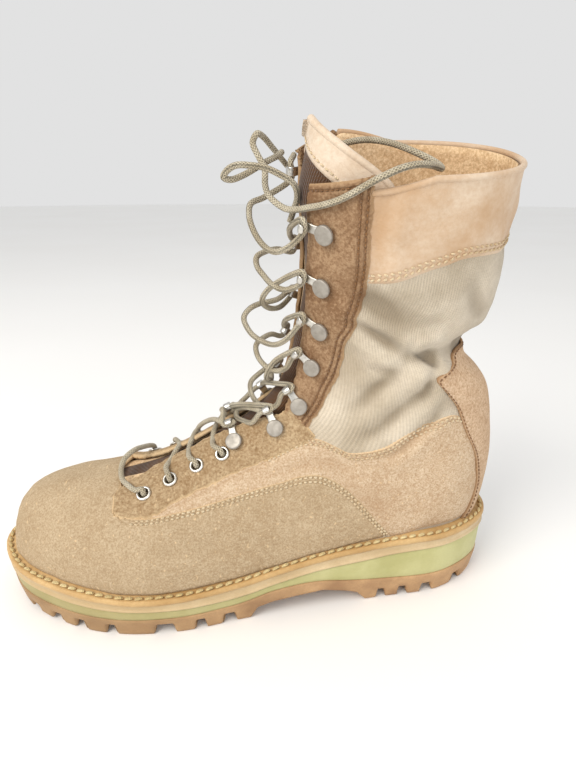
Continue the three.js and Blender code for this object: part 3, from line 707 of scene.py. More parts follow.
def addPanel(name, spec, node=None):
    # a sheet ruled between two lines on the last
    # its height is the creases, less a rolled edge and the seam grooves; these also darken its colour as
    # painted shade
    where = panelShape(spec)
    u, degrees = where[..., 0], where[..., 1]
    base = skin(u, degrees)
    normal = outward(u, degrees)
    distance = edgeDistances(base)
    free = spec.get("free", ("first", "second", "start", "end"))
    nearest = np.minimum.reduce([distance[side] for side in free]) if free else np.full(u.shape, 9.0)
    height = spec["top"] - 0.6 * spec["thick"] * np.exp(-(nearest / 0.9) ** 2)
    fold = relief(base)
    swell = spec.get("swell", 1.0)
    height = height - fold * swell + ripple(base, undulation["height"] * swell, undulation["length"])
    # the colour's painted shade: darker where the folds sink in
    shade = np.maximum(fold, 0)
    for side, away, depth, width in spec.get("grooves", ()):
        started = ramp(np.abs(degrees), *spec.get("from", (-2, -1)))
        dip = depth * np.exp(-((distance[side] - away) / width) ** 2) * started
        height = height - dip
        # each seam groove adds painted shade to the colour
        shade = shade + 3 * dip
    for side, rise, width in spec.get("lifts", ()):
        height = height + rise * np.exp(-(distance[side] / width) ** 2)
    for side, away, rise, width in spec.get("ridges", ()):
        height = height + rise * np.exp(-((distance[side] - away) / width) ** 2)
    if spec.get("eyelets"):
        for _, row, turn, side in fittings(outerEyelets, "eyelet"):
            centre, _ = seat(row, turn, side)
            away = np.linalg.norm(base - centre, axis=-1)
            height = height - 3.6 * np.clip((3.5 - away) / 0.9, 0, 1)
    points = base + normal * height[..., None]
    if spec.get("fray"):
        size = spec["fray"]
        inwardFirst = unit(points[:, 1:2] - points[:, 0:1])
        inwardSecond = unit(points[:, -2:-1] - points[:, -1:])
        for side, direction in (("first", inwardFirst), ("second", inwardSecond)):
            if side in free:
                offset = ragged(len(points), size)[:, None] * np.exp(-(distance[side] / 1.4) ** 2)
                points = points + direction * offset[..., None]
    where2 = np.stack([np.radians(degrees) * 42, points[..., 2] - 0.35 * points[..., 0]], -1)
    piece = makeObject(name, points.reshape(-1, 3), gridFaces(*u.shape), finish[spec["finish"]], node,
                       {"edge": nearest, "paintedCreaseShade": shade}, where2, (), normal)
    solidify(piece, spec["thick"])
    return {"where": where, "height": spec["top"], "distance": distance, "points": points, "normal": normal}


def seamLine(panel, side, away):
    # the line on a panel that stays 'away' millimetres from one side
    distance = panel["distance"][side]
    points, normal = panel["points"], panel["normal"]
    if side in ("start", "end"):
        distance, points, normal = distance.T, points.swapaxes(0, 1), normal.swapaxes(0, 1)
    if side in ("second", "end"):
        distance, points, normal = distance[:, ::-1], points[:, ::-1], normal[:, ::-1]
    k = np.clip((distance < away).sum(1), 1, distance.shape[1] - 1)
    i = np.arange(len(k))
    low, high = distance[i, k - 1], distance[i, k]
    t = np.clip((away - low) / np.maximum(high - low, 1e-6), 0, 1)[:, None]
    line = points[i, k - 1] * (1 - t) + points[i, k] * t
    return line, normal[i, k]


def stitches(line, normals, pitch, length, radius, lift=0.0, slant=0.0, trim=(0, 0)):
    # small spindles laid end to end along a line, each a ring-by-ring surface with closed tips
    run = lengths(line)
    centres = np.arange(trim[0] + pitch / 2, run[-1] - trim[1] - pitch / 2, pitch)
    at = lambda values, s: np.stack([np.interp(s, run, values[:, k]) for k in range(3)], -1)
    middle = at(line, centres)
    up = unit(at(normals, centres))
    forward = unit(at(line, centres + length / 2) - at(line, centres - length / 2))
    side = unit(np.cross(up, forward))
    forward = unit(forward + slant * side)
    side = unit(np.cross(up, forward))
    rings, spokes = 6, 6
    t = np.linspace(0, 1, rings)
    along = -np.cos(np.pi * t) * length / 2
    wide = radius * (0.12 + 0.88 * np.sin(np.pi * t) ** 0.6)
    arch = radius * 0.5 * np.sin(np.pi * t) - radius * 0.25
    angle = np.linspace(0, 2 * np.pi, spokes, endpoint=False)
    points = (middle[:, None, None] + forward[:, None, None] * along[None, :, None, None]
              + side[:, None, None] * (wide[:, None] * np.cos(angle))[None, ..., None]
              + up[:, None, None] * (wide[:, None] * np.sin(angle) + (arch + lift)[:, None])[None, ..., None])
    each = gridFaces(rings, spokes, wrapColumns=True)
    tips = np.array([[0, 1, 2, 3], [0, 3, 4, 5], [33, 32, 31, 30], [35, 34, 33, 30]])
    each = np.concatenate([each, tips])
    count = len(centres)
    faces = (each[None] + (np.arange(count) * rings * spokes)[:, None, None]).reshape(-1, 4)
    return points.reshape(-1, 3), faces


seams = {"thread": [], "darkThread": []}


def sew(panel, side, rows, thread="thread", pitch=2.8, radius=0.62, trim=(1, 1), slant=0.0, only=slice(None)):
    # a row of stitches at each distance from one side of a panel
    for away in rows:
        line, normals = seamLine(panel, side, away)
        seams[thread].append(stitches(line[only], normals[only], pitch, pitch * 0.66, radius, 0.3, slant,
                                      trim))


def doubled(side, gaps, depth=0.4):
    # a groove under each row of stitches: side, distance, depth and width
    return [(side, gap, depth, 0.75) for gap in gaps]


stitchGaps = (2.0, 4.4)
weltStart = 9.62  # row where the vamp's rear edge meets the welt


def weltLine(side, low, high, count):
    # where each row meets the welt, in rows and degrees
    rows = np.linspace(low, high, count)
    return np.stack([rows, side * weltAngle(rows, side)], -1)


def toeLine():
    # the upper's edge on the welt, from the outer side round the toe to the inner side
    share = np.linspace(1, 0, 26)
    toeRow = 0.0
    rows = toeRow + (weltStart - toeRow) * share**2
    outer = np.stack([rows, weltAngle(rows, 1)], -1)
    inner = np.stack([rows, -weltAngle(rows, -1)], -1)[::-1][1:]
    return np.concatenate([outer, inner])


vampEdge = [(9.62, 97), (9.55, 84), (9.5, 75), (9.38, 67), (9.12, 60.5), (8.74, 57.5), (8.37, 56.5),
            (7.85, 54.5), (7.33, 53), (6.75, 51.5), (6.3, 49.5), (5.8, 48), (5.45, 45), (5.3, 38),
            (5.2, 24), (5.12, 12)]
facingTop = [(5.08, 30), (5.28, 22), (5.72, 13.5), (6.13, 9), (6.5, 7.5), (7.2, 9), (7.6, 11), (8.3, 19),
             (8.95, 27), (9.35, 28)]
facingLow = [(5.1, 41), (5.35, 46), (5.96, 47.5), (6.3, 44), (6.8, 42.5), (7.5, 42), (8.2, 44), (8.7, 45.5),
             (9.12, 47), (9.5, 47)]
canvasLow = [(9.1, 43), (9.5, 48), (9.8, 55), (9.95, 59), (10.35, 63.5), (10.85, 68.5), (11.35, 73.5),
             (11.75, 80), (12.25, 89), (12.8, 106), (12.95, 120)]
eyestayOut = [(8.95, 41), (9.4, 42), (9.85, 41.5), (10.7, 42.5), (11.6, 46), (13.15, 52), (14.4, 60),
              (15.6, 65), (17.1, 65), (18.5, 64.5), (19.3, 64), (20.12, 62)]
eyestayIn = [(9.0, 30), (9.15, 27), (9.5, 24.5), (10.2, 21.5), (11.2, 22), (12.95, 22), (14.4, 22),
             (15.6, 22), (17.1, 22), (18.6, 22), (19.2, 22.5), (19.7, 24)]
collarLow = [(17.0, 60), (17.2, 66), (17.7, 78), (18.15, 91), (18.45, 102), (18.72, 116), (18.85, 150),
             (18.9, 180)]
backEdge = [(10.15, 128), (10.8, 134), (11.15, 136), (11.6, 134), (12, 128), (12.5, 117), (13.1, 112),
            (13.4, 105), (13.6, 99.5), (13.8, 101), (14.2, 111), (14.75, 130), (15.15, 138), (15.5, 150),
            (15.7, 168)]


def around(curve):
    # a line on the outer side carried on round the back to the inner side
    curve = np.asarray(curve, float)
    back = curve[:-1][::-1].copy()
    mirror = innerSide(back)
    return np.concatenate([curve, np.stack([mirror[:, 0], 360 + mirror[:, 1]], -1)])


def buildUpper():
    # the outside, panel on panel: canvas, quarters, vamp, facings, eyestays, collar band, backstay
    for side, turned in ((1, np.asarray), (-1, innerSide)):
        tag = "Outer" if side > 0 else "Inner"
        mirror = lambda curve: turned(np.asarray(curve, float))
        # canvas, from under the eyestay to the back seam, and down inside the quarter
        rows = np.linspace(9.0, 19.3, 24)
        front = mirror(np.stack([rows, np.interp(rows, [9, 10.2, 12, 14, 16, 19.3],
                                                 [36, 38, 44, 54, 60, 60])], -1))
        back = np.stack([rows, side * np.minimum(weltAngle(rows, side), 180)], -1)
        addPanel("canvas" + tag, {
            "first": front if side > 0 else back, "second": back if side > 0 else front, "byRow": True,
            "grid": (130, 120), "top": -0.6, "thick": 0.7, "free": (), "finish": "canvas",
            "alongStrength": 0.2})
        # quarter, from the lower facing back to the heel
        low = np.concatenate([[(4.95, 44)],
                              np.array([(5.3, 51), (6.3, 55), (7.33, 58.5), (8.37, 62), (9.0, 66),
                              (9.25, 74), (9.3, 86), (9.5, 99)]), np.abs(weltLine(side, 9.9, 10.9, 5))])
        top = [(5.05, 40), (5.5, 42), (6.3, 41), (7.5, 39), (8.6, 41), *canvasLow]
        first, second = mirror(top), mirror(low)
        low[8:] = np.abs(low[8:])
        quarter = addPanel("quarter" + tag, {
            "first": first if side > 0 else second, "second": second if side > 0 else first,
            "grid": (170, 80), "top": 0.0, "thick": 1.3, "free": ("first",) if side > 0 else ("second",),
            "finish": "quarter", "grooves": doubled("first" if side > 0 else "second", stitchGaps),
            "lifts": [("second" if side > 0 else "first", -1.2, 4.0)]})
        sew(quarter, "first" if side > 0 else "second", stitchGaps, trim=(95, 2))
    # vamp: one piece round the toe, its wings running back along the welt
    edge = np.concatenate([vampEdge, [(5.08, upper["innerTurn"] / 2)], innerSide(vampEdge)[::-1]])
    vamp = addPanel("vamp", {
        "first": edge, "second": toeLine(), "grid": (300, 90), "top": 0.5, "thick": 1.4, "free": ("first",),
        "finish": "vamp", "grooves": doubled("first", stitchGaps, 0.45), "alongStrength": 0.2,
        "lifts": [("second", -1.7, 4.5)], "from": (38, 46)})
    wings = np.nonzero(np.abs(vamp["where"][:, 0, 1]) < 45)[0]
    sew(vamp, "first", stitchGaps, only=slice(0, wings[0]))
    sew(vamp, "first", stitchGaps, only=slice(wings[-1], None))
    for side, turned in ((1, np.asarray), (-1, innerSide)):
        tag = "Outer" if side > 0 else "Inner"
        mirror = lambda curve: turned(np.asarray(curve, float))
        addPanel("facing" + tag, {
            "first": mirror(facingTop if side > 0 else facingLow),
            "second": mirror(facingLow if side > 0 else facingTop),
            "grid": (150, 60), "top": 0.85, "thick": 1.7, "finish": "facing", "fray": 0.6,
            "eyelets": True, "lifts": [("start", 1.5, 9.0)]})
        eyestay = addPanel("eyestay" + tag, {
            "first": mirror(eyestayIn if side > 0 else eyestayOut),
            "second": mirror(eyestayOut if side > 0 else eyestayIn),
            "grid": (170, 60), "top": 0.8, "thick": 1.6, "finish": "eyestay", "fray": 0.3,
            "grooves": [("second" if side > 0 else "first", 2.2, 0.8, 0.6),
                        ("second" if side > 0 else "first", 5.2, 0.8, 0.6),
                        ("end", 3.2, 0.6, 0.7)]})
        sew(eyestay, "second" if side > 0 else "first", (2.2, 5.2), "darkThread", 2.6, 0.42)
        sew(eyestay, "end", (3.2,), "darkThread", 2.6, 0.4, (3, 7))
    collar = around(collarLow)
    rimDegrees = np.linspace(58, 304, 30)
    rim = np.stack([collarRow(rimDegrees), rimDegrees], -1)
    band = addPanel("collarBand", {
        "first": collar, "second": rim, "grid": (260, 60), "top": 0.3, "thick": 1.4, "free": ("first",),
        "finish": "collar", "grooves": doubled("first", (2.6, 5.0), 0.3), "alongStrength": 0.2,
        "lifts": [("start", -1.3, 7), ("end", -1.3, 7)]})
    sew(band, "first", (2.6,), pitch=3.2, radius=0.6, trim=(2, 2), slant=0.5)
    sew(band, "first", (5.0,), pitch=3.2, radius=0.6, trim=(2, 2), slant=-0.5)
    other = np.asarray(backEdge) * [1, -1] + [0, 360]
    stay = addPanel("backstay", {
        "first": backEdge, "second": other, "byRow": True, "grid": (120, 110), "top": 1.5, "thick": 1.5,
        "finish": "backstay", "fray": 0.15,
        "grooves": [("first", 1.8, 0.35, 0.6), ("second", 1.8, 0.35, 0.6)],
        "swell": 0.35, "lifts": [("end", -1.4, 5)]}, "heel_counter")
    sew(stay, "first", (1.8,), "darkThread", 2.8, 0.36)
    sew(stay, "second", (1.8,), "darkThread", 2.8, 0.36)


def buildLining():
    # the inner wall: a closed sheet from the outer throat edge round the back to the inner one
    rowShare = clustered(80, 0.3)
    turn = np.linspace(0, 1, 110)
    edgeRows = [5.3, 5.8, 6.5, 7.5, 8.5, 9.3, 10.2, 12, 19, 22]
    out = [10, 11, 8, 10, 22, 27, 22, 22.5, 22.5, 22.5]
    inn = [-6, -7, -7, -9, -15, -18, -15, -14, -13, -13]
    pieces = []
    # shaft and quarters, above the welt
    for side, edge, tag in ((1, out, "Outer"), (-1, inn, "Inner")):
        rows = 4.6 + (20.1 - 4.6) * rowShare
        front = np.interp(rows, edgeRows, edge)
        front = np.where(rows < 5.3, np.interp(rows, [4.6, 5.3], [2, 0]) + front, front)
        bottom = side * weltAngle(rows, side)
        degrees = front[:, None] + (bottom - front)[:, None] * turn[None]
        share = (rows[:, None] - 4.6) / (20.1 - 4.6)
        u = 4.6 + (collarRow(degrees) - 0.4 * (1 - ramp(np.abs(degrees), 38, 60)) - 0.03 - 4.6) * share
        base = skin(u, degrees)
        fold = relief(base)
        points = base + outward(u, degrees) * (-2.9 - 1.3 * np.maximum(fold, 0))[..., None]
        if side < 0:
            points, fold = points[:, ::-1], fold[:, ::-1]
        piece = makeObject("lining" + tag, points.reshape(-1, 3), gridFaces(*fold.shape), finish["lining"],
                           "upper" if side > 0 else None, plain(fold.shape), None, (),
                           outward(u, degrees) if side > 0 else outward(u, degrees)[:, ::-1])
        solidify(piece, 1.05)
        pieces.append(piece)
    # toe box
    rows = 0.65 + (4.75 - 0.65) * np.linspace(0, 1, 36) ** 1.5
    outer, inner = weltAngle(rows, 1), weltAngle(rows, -1)
    degrees = -inner[:, None] + (outer + inner)[:, None] * np.linspace(0, 1, 80)[None]
    u = np.broadcast_to(rows[:, None], degrees.shape)
    points = skin(u, degrees, -1.0)
    piece = makeObject("toeLining", points.reshape(-1, 3), gridFaces(*u.shape), finish["lining"], None,
                       plain(u.shape), None, (), outward(u, degrees))
    solidify(piece, 1.2)


def tubeAlong(points, radius, spokes):
    # a round section carried along a path without twist; returns vertices, faces, uv in millimetres
    points = np.asarray(points, float)
    forward = unit(np.gradient(points, axis=0))
    side = np.zeros_like(points)
    previous = unit(np.cross(forward[0], (0, 0, 1)) + 1e-6)
    for k, direction in enumerate(forward):
        previous = unit(previous - direction * (previous @ direction))
        side[k] = previous
    other = np.cross(forward, side)
    angle = np.linspace(0, 2 * np.pi, spokes, endpoint=False)
    radii = np.broadcast_to(np.asarray(radius, float), (len(points),))[:, None, None]
    ring = points[:, None] + radii * (side[:, None] * np.cos(angle)[None, :, None]
                                      + other[:, None] * np.sin(angle)[None, :, None])
    run = lengths(points)
    uv = np.stack(np.broadcast_arrays(run[:, None], (angle * np.mean(radii))[None, :]), -1)
    faces = gridFaces(len(points), spokes, wrapColumns=True)[:, ::-1]
    return ring.reshape(-1, 3), faces, uv.reshape(-1, 2), endCaps(len(points), spokes)


def buildRim():
    # the padded roll along the collar's top edge
    degrees = np.linspace(62, 302, 260)
    points = skin(collarRow(degrees), degrees, -0.55)
    points = points - [0, 0, 0.4]
    vertices, faces, uv, caps = tubeAlong(points, 1.55, 12)
    piece = makeObject("collarRoll", vertices, faces, finish["collar"], None,
                       plain(len(vertices)), uv, caps)


tongueSize = {"top": {"inner": 21.0, "outer": 19.75}, "back": -3.7, "thick": 2.2, "roll": 2.6, "band": 15,
              "lean": 6}


def buildTongue():
    # one padded flap behind the throat: woven mesh, with a leather band and a rolled edge at its top
    rows = [5.0, 7.5, 9.3, 12, 17, 20.1]
    outer = list(zip(rows[:5], (24, 27, 36, 38, 52)))
    outer += [(18.8, 66), (tongueSize["top"]["outer"], 72)]
    inner = list(zip(rows, (-22, -24, -28, -26, -22, -15)))
    inner += [(20.7, -9), (tongueSize["top"]["inner"], 0)]
    spec = {"first": inner, "second": outer, "grid": (150, 54), "alongStrength": 0.3}
    where = panelShape(spec)
    u, degrees = where[..., 0], where[..., 1]
    share = np.linspace(0, 1, u.shape[1])[None]
    u = u + 0.25 * np.sin(np.pi * share) * ramp(u, 18, 20.3)
    base, normal = skin(u, degrees), outward(u, degrees)
    distance = edgeDistances(base)
    # it sinks away from the wall towards its outer top corner
    height = tongueSize["back"] - 3.5 * ramp(degrees, 40, 72) * ramp(u, 16, 19.5) + ripple(base, 0.3, 30)
    height = height + 3.2 * ramp(u, 16.5, 20) * (1 - ramp(degrees, 5, 42))
    # its free top leans back towards the heel
    height = height - tongueSize["lean"] * ramp(u, 19.2, 21.2)
    fromTop = distance["end"]
    height = height - 0.5 * np.exp(-((fromTop - tongueSize["band"]) / 0.8) ** 2)
    height = height + np.clip((tongueSize["band"] - fromTop) / 1.0, 0, 1) * 0.5
    points = base + normal * height[..., None]
    split = int(np.argmax(fromTop.mean(1) < tongueSize["band"]))
    uv = np.stack([distance["first"], points[..., 2]], -1)
    # two pieces share the grid: mesh below the band and leather above it
    for name, rows, material in (("tongueMesh", slice(0, split + 1), "mesh"),
                                 ("tongueBand", slice(split, None), "binding")):
        flat = np.zeros(u[rows].shape)
        piece = makeObject(name, points[rows].reshape(-1, 3), gridFaces(*flat.shape), finish[material],
                           "tongue", plain(flat.shape), uv[rows], (), normal[rows])
        solidify(piece, tongueSize["thick"])
    top = points[-1] - normal[-1] * 1.2
    roll = np.concatenate([points[-16:-1, 0] - normal[-16:-1, 0] * 1.2, top,
                           (points[-6:-1, -1] - normal[-6:-1, -1] * 1.2)[::-1]])
    vertices, faces, uv, caps = tubeAlong(roll, tongueSize["roll"] * 0.7, 14)
    piece = makeObject("tongueRoll", vertices, faces, finish["binding"], None,
                       plain(len(vertices)), uv, caps)
    seams["thread"].append(stitches(points[split + 2], normal[split + 2], 3.0, 2.2, 0.45, 0.2, trim=(5, 2)))


# sole
soleOutline = np.array([
    [-40, 0], [-34, 19], [-6, 37], [35, 41], [70, 43.5], [115, 48], [155, 53.5], [190, 51], [220, 40.5],
    [249, 21], [263, -7], [256, -32], [230, -50], [190, -56], [138, -47], [78, -37], [-6, -37], [-34, -20],
])
treadLine = np.array([
    [-60, 8], [-42, 5.5], [-34, 2], [-25, 0], [44, 0], [50, 7.5], [58, 10.5], [71, 14], [89, 12.2],
    [101, 10.7], [110, 8], [114, 0], [214, 0], [232, 1], [248, 3.5], [275, 9],
])
edgeGrooves = [(-18.5, 8), (4.4, 9), (20.6, 6.5), (34.2, 6), (126, 8.5), (142.4, 7), (163, 13), (194, 7),
               (212.7, 8), (228, 8), (243, 6)]
middleGrooves = [(-14, 5), (23, 5), (133, 5), (152, 5), (196, 5), (217, 5), (237, 5)]
channel = (17, 22)


def closedCurve(points, count):
    # a smooth ring through the points, evened out along its length
    dense = centripetal(np.concatenate([points[-1:], points, points[:2]]))
    run = lengths(dense)
    s = np.linspace(0, run[-1], count, endpoint=False)
    return np.stack([np.interp(s, run, dense[:, k]) for k in (0, 1)], -1)


def centripetal(ring):
    # centripetal Catmull-Rom through all points but the first and last
    ring = np.asarray(ring, float)
    parts = []
    for k in range(1, len(ring) - 2):
        p = ring[k - 1:k + 3]
        knots = np.concatenate([[0], np.cumsum(np.linalg.norm(np.diff(p, axis=0), axis=1) ** 0.5)])
        t = np.linspace(knots[1], knots[2], 40, endpoint=False)[:, None]
        blend = lambda a, b, ta, tb: (tb - t) / (tb - ta) * a + (t - ta) / (tb - ta) * b
        a1, a2, a3 = (blend(p[i], p[i + 1], knots[i], knots[i + 1]) for i in range(3))
        b1, b2 = blend(a1, a2, knots[0], knots[2]), blend(a2, a3, knots[1], knots[3])
        parts.append(blend(b1, b2, knots[1], knots[2]))
    return np.concatenate([*parts, ring[-2:-1]])


outlineCount = 900
outline = closedCurve(soleOutline, outlineCount)
tangent = unit(np.roll(outline, -3, axis=0) - np.roll(outline, 3, axis=0))
outlineNormal = np.stack([-tangent[:, 1], tangent[:, 0]], -1)  # outwards: the ring runs clockwise
fromMiddle = outline - outline.mean(0)
if ((fromMiddle + outlineNormal) ** 2).sum() < ((fromMiddle - outlineNormal) ** 2).sum():
    outlineNormal = -outlineNormal


def edgeRing(inset, z):
    # the sole's edge drawn in by 'inset' at height z, both per outline point
    flat = outline - outlineNormal * np.broadcast_to(inset, (outlineCount,))[:, None]
    return np.concatenate([flat, np.broadcast_to(z, (outlineCount,))[:, None]], 1)


def addLayer(name, low, high, profile):
    # 'profile' lists (share of height, inset) up the side; low and high are heights per outline point
    rings = [edgeRing(inset, low + (high - low) * share) for share, inset in profile]
    rings = [edgeRing(30.0, low), edgeRing(12.0, low), *rings, edgeRing(12.0, high), edgeRing(30.0, high)]
    points = np.stack(rings)
    faces = gridFaces(len(rings), outlineCount, wrapColumns=True)[:, ::-1]
    run = np.linspace(0, 780, outlineCount)
    uv = np.stack(np.broadcast_arrays(run[None], points[..., 2]), -1)
    piece = makeObject(name, points.reshape(-1, 3), faces, finish[name], name,
                       plain(points.shape[:2]), uv, endCaps(len(rings), outlineCount))


def sideTaper(z):
    # how far the side stands in at a height
    return np.interp(z, [0, 14, 30, 46], [4.5, 2, 0.7, 0])


def treadHeight(x):
    # the underside at x, read off the tread line
    return np.interp(x, treadLine[:, 0], treadLine[:, 1])


def grooveDepth(x, inset):
    # how much of the lug's depth is cut away at x, 'inset' in from the edge
    edge = np.zeros(np.broadcast(x, inset).shape)
    for centre, width in edgeGrooves:
        edge = np.maximum(edge, 1 - ramp(np.abs(x - centre), width * 0.3, width * 0.5 + 0.2))
    middle = np.zeros_like(edge)
    for centre, width in middleGrooves:
        middle = np.maximum(middle, 1 - ramp(np.abs(x - centre), width * 0.3, width * 0.5 + 0.2))
    inRing = ramp(inset, channel[0] - 0.6, channel[0] + 0.2)
    inRing = inRing * (1 - ramp(inset, channel[1] - 0.2, channel[1] + 0.6))
    near = 1 - ramp(inset, channel[0] - 0.6, channel[0] + 0.2)
    far = ramp(inset, channel[1] - 0.2, channel[1] + 0.6)
    arch = ramp(x, 46, 52) * (1 - ramp(x, 106, 112))
    return np.maximum(np.maximum(edge * near, middle * far), inRing + 0 * edge) * (1 - arch)


def buildOutsole():
    # rings from the middle of the tread out to the edge, then up the side
    x = outline[:, 0]
    insets = [30, 26, 22.6, 22, 21.6, 17.4, 17, 16.4, 12, 8, 5, 3.2, 2.0, 1.2]
    sideInset = sideTaper(0.0)
    top = layerTop(x, "outsole")
    rings = []
    for inset in insets:
        flat = outline - outlineNormal * (inset + sideInset)
        px = flat[:, 0]
        z = treadHeight(px) + sole["lugDepth"] * grooveDepth(px, inset) * (treadHeight(px) < 6)
        rings.append(np.concatenate([flat, np.minimum(z, top - 2)[:, None]], 1))
    deep = grooveDepth(x, 0.0) * (treadHeight(x) < 6)
    low = treadHeight(x) + sole["lugDepth"] * deep
    for share in (0.0, 0.06, 0.2, 0.4, 0.55, 0.7, 0.85, 0.96, 1.0):
        z = low + (top - low) * share
        rounded = 0.9 * (1 - share / 0.06) if share < 0.06 else 0
        lip = 0.5 if share > 0.97 else 0
        cut = 3.2 * deep * (1 - ramp(z, 5.0, 8.5))
        rings.append(edgeRing(sideTaper(z) + rounded + lip + cut, z))
    rings += [edgeRing(14.0, top), edgeRing(30.0, top)]
    points = np.stack(rings)
    faces = gridFaces(len(rings), outlineCount, wrapColumns=True)[:, ::-1]
    piece = makeObject("outsole", points.reshape(-1, 3), faces, finish["outsole"], "outsole", None, None,
                       endCaps(len(rings), outlineCount))


def buildSole():
    # outsole, foam, rand and welt, each standing a little clear of the next
    x = outline[:, 0]
    gap = sole["gap"]
    buildOutsole()
    tops = {name: layerTop(x, name) for name in ("outsole", "midsole", "rand")}

    def side(low, high, bumps):
        # insets up a layer's side: the sole's taper and the layer's own bumps
        return [(share, sideTaper(low + (high - low) * share) + inset) for share, inset in bumps]

    low, high = tops["outsole"] + gap * 0.3, tops["midsole"]
    bumps = [(0, 0.8), (0.04, 0.45), (0.3, 0.5), (0.7, 0.7), (0.96, 0.5), (1, 0.9)]
    addLayer("midsole", low, high, side(low, high, bumps))
    low, high = tops["midsole"] + gap * 0.3, tops["rand"]
    # the rand has a rounded, shiny ridge along its foot
    bumps = [(0, 1.0), (0.04, 0.3), (0.1, -0.15), (0.17, -0.35), (0.24, -0.3), (0.31, 0.0), (0.38, 0.5),
             (0.55, 0.6), (0.8, 0.55), (0.95, 0.5), (1, 0.8)]
    addLayer("rand", low, high, side(low, high, bumps))
    low, high = tops["rand"] + gap * 0.3, tops["rand"] + sole["weltThickness"]
    rings = [(0, 9.0, 0.0), (0, 0.9, 0.0), (0.12, 0.35, 0.0), (0.5, 0.1, 0.0), (0.85, 0.35, 0.0),
             (0.97, 0.9, 0.0), (1.0, 1.7, 0.0), (1.0, 2.6, -0.35), (1.0, 3.4, -0.75), (1.0, 4.2, -0.4),
             (1.0, 5.2, 0.1), (1.0, 7.0, 0.25), (1.0, 9.5, 0.0)]
    points = np.stack([edgeRing(sideTaper(low + (high - low) * share) + inset - 0.6,
                                low + (high - low) * share + drop)
                       for share, inset, drop in rings])
    points[..., 2] += ripple(points, 0.12, 9)
    faces = gridFaces(len(rings), outlineCount, wrapRows=True, wrapColumns=True)[:, ::-1]
    piece = makeObject("welt", points.reshape(-1, 3), faces, finish["welt"], "welt",
                       plain(points.shape[:2]))
    line = edgeRing(sideTaper(high) + 2.2, high + 0.1)
    line = np.concatenate([line, line[:1]])
    normals = np.broadcast_to([0.0, 0.0, 1.0], line.shape)
    vertices, faces = stitches(line, normals, 5.5, 4.4, 1.0, 0.25, 0.2)
    piece = makeObject("weltStitches", vertices, faces, finish["weltThread"], None,
                       {"paintedCreaseShade": np.zeros(len(vertices))}, vertices[:, :2])


def buildInsole():
    # a footbed dished in the middle, following the inside of the upper
    rows = 1.15 + (11.3 - 1.15) * clustered(90, 0.5)
    edges = []
    for side in (1, -1):
        at = skin(rows, side * np.minimum(weltAngle(rows, side), 178), -5.2)
        edges.append(at)
    t = np.linspace(0, 1, 40)[None, :, None]
    points = edges[0][:, None] * (1 - t) + edges[1][:, None] * t
    height = layerTop(points[..., 0], "rand") + sole["weltThickness"] + 2.3
    points[..., 2] = height - 1.4 * np.sin(np.pi * t[..., 0]) ** 0.5 * np.ones_like(height)
    uv = points[..., :2]
    piece = makeObject("footbed", points.reshape(-1, 3), gridFaces(*height.shape), finish["insole"], "insole",
                       plain(height.shape), uv, (),
                       np.broadcast_to([0.0, 0.0, 1.0], points.shape))
    solidify(piece, 4.0)


# hooks and eyelets
def latheParts(profile, spokes=36):
    # a profile of (radius, height) turned round the third axis
    profile = np.asarray(profile, float)
    angle = np.linspace(0, 2 * np.pi, spokes, endpoint=False)
    points = np.stack([profile[:, :1] * np.cos(angle), profile[:, :1] * np.sin(angle),
                       np.broadcast_to(profile[:, 1:], (len(profile), spokes))], -1)
    return points.reshape(-1, 3), gridFaces(len(profile), spokes, wrapColumns=True)


def roundedProfile(radius, low, high, corner):
    # up the side, round the corner and in to the middle, slightly domed
    bend = np.linspace(0, np.pi / 2, 6)
    corners = np.stack([radius - corner + corner * np.cos(bend), high - corner + corner * np.sin(bend)], -1)
    inward = np.linspace(radius - corner, 0.01, 6)[1:]
    dome = np.stack([inward, high + 0.22 * (1 - (inward / radius) ** 2)], -1)
    foot = np.array([[0.01, low], [radius * 0.97, low], [radius, low + 0.15]])
    return np.concatenate([foot, corners, dome])


def hookParts():
    # a domed cap and a strip that turns up and back over itself
    size = hookSize
    cap = latheParts(roundedProfile(size["cap"], size["plate"] + 0.1, size["plate"] + size["capHeight"],
                                    0.75))
    # the strip: straight from under the cap, then turned up and back over itself
    turn = np.linspace(-np.pi / 2, np.pi * 0.68, 16)
    middle = size["curl"] - size["plate"] / 2
    bend = np.stack([size["reach"] + middle * np.cos(turn), size["curl"] + middle * np.sin(turn)], -1)
    straight = np.stack([np.linspace(-3.2, size["reach"] - 0.7, 10), np.full(10, size["plate"] / 2)], -1)
    line = np.concatenate([straight, bend])
    tangents = unit(np.gradient(line, axis=0))
    across = np.stack([-tangents[:, 1], tangents[:, 0]], -1)
    run = lengths(line)
    half = np.interp(run, [0, 3, 7, 10, 13, 20, 23], [2.4, 3.6, 2.6, 2.1, 2.2, 2.3, 1.6])
    angle = np.linspace(0, 2 * np.pi, 16, endpoint=False)
    # rounded flat section
    cos, sin = np.cos(angle), np.sin(angle)
    wide = np.sign(cos) * np.abs(cos) ** 0.5
    tall = np.sign(sin) * np.abs(sin) ** 0.6
    thick = size["plate"] / 2
    ends = np.ones(len(line))
    ends[0] = ends[-1] = 0.5
    points = np.stack([
        line[:, None, 0] + across[:, None, 0] * (thick * ends)[:, None] * tall,
        (half * ends)[:, None] * wide,
        line[:, None, 1] + across[:, None, 1] * (thick * ends)[:, None] * tall], -1)
    faces = gridFaces(len(line), 16, wrapColumns=True)
    strip = (points.reshape(-1, 3), faces)
    ends = [list(range(16))[::-1], list(range((len(line) - 1) * 16, len(line) * 16))]
    return joined([cap, strip]), ends, len(cap[0]), len(cap[1])


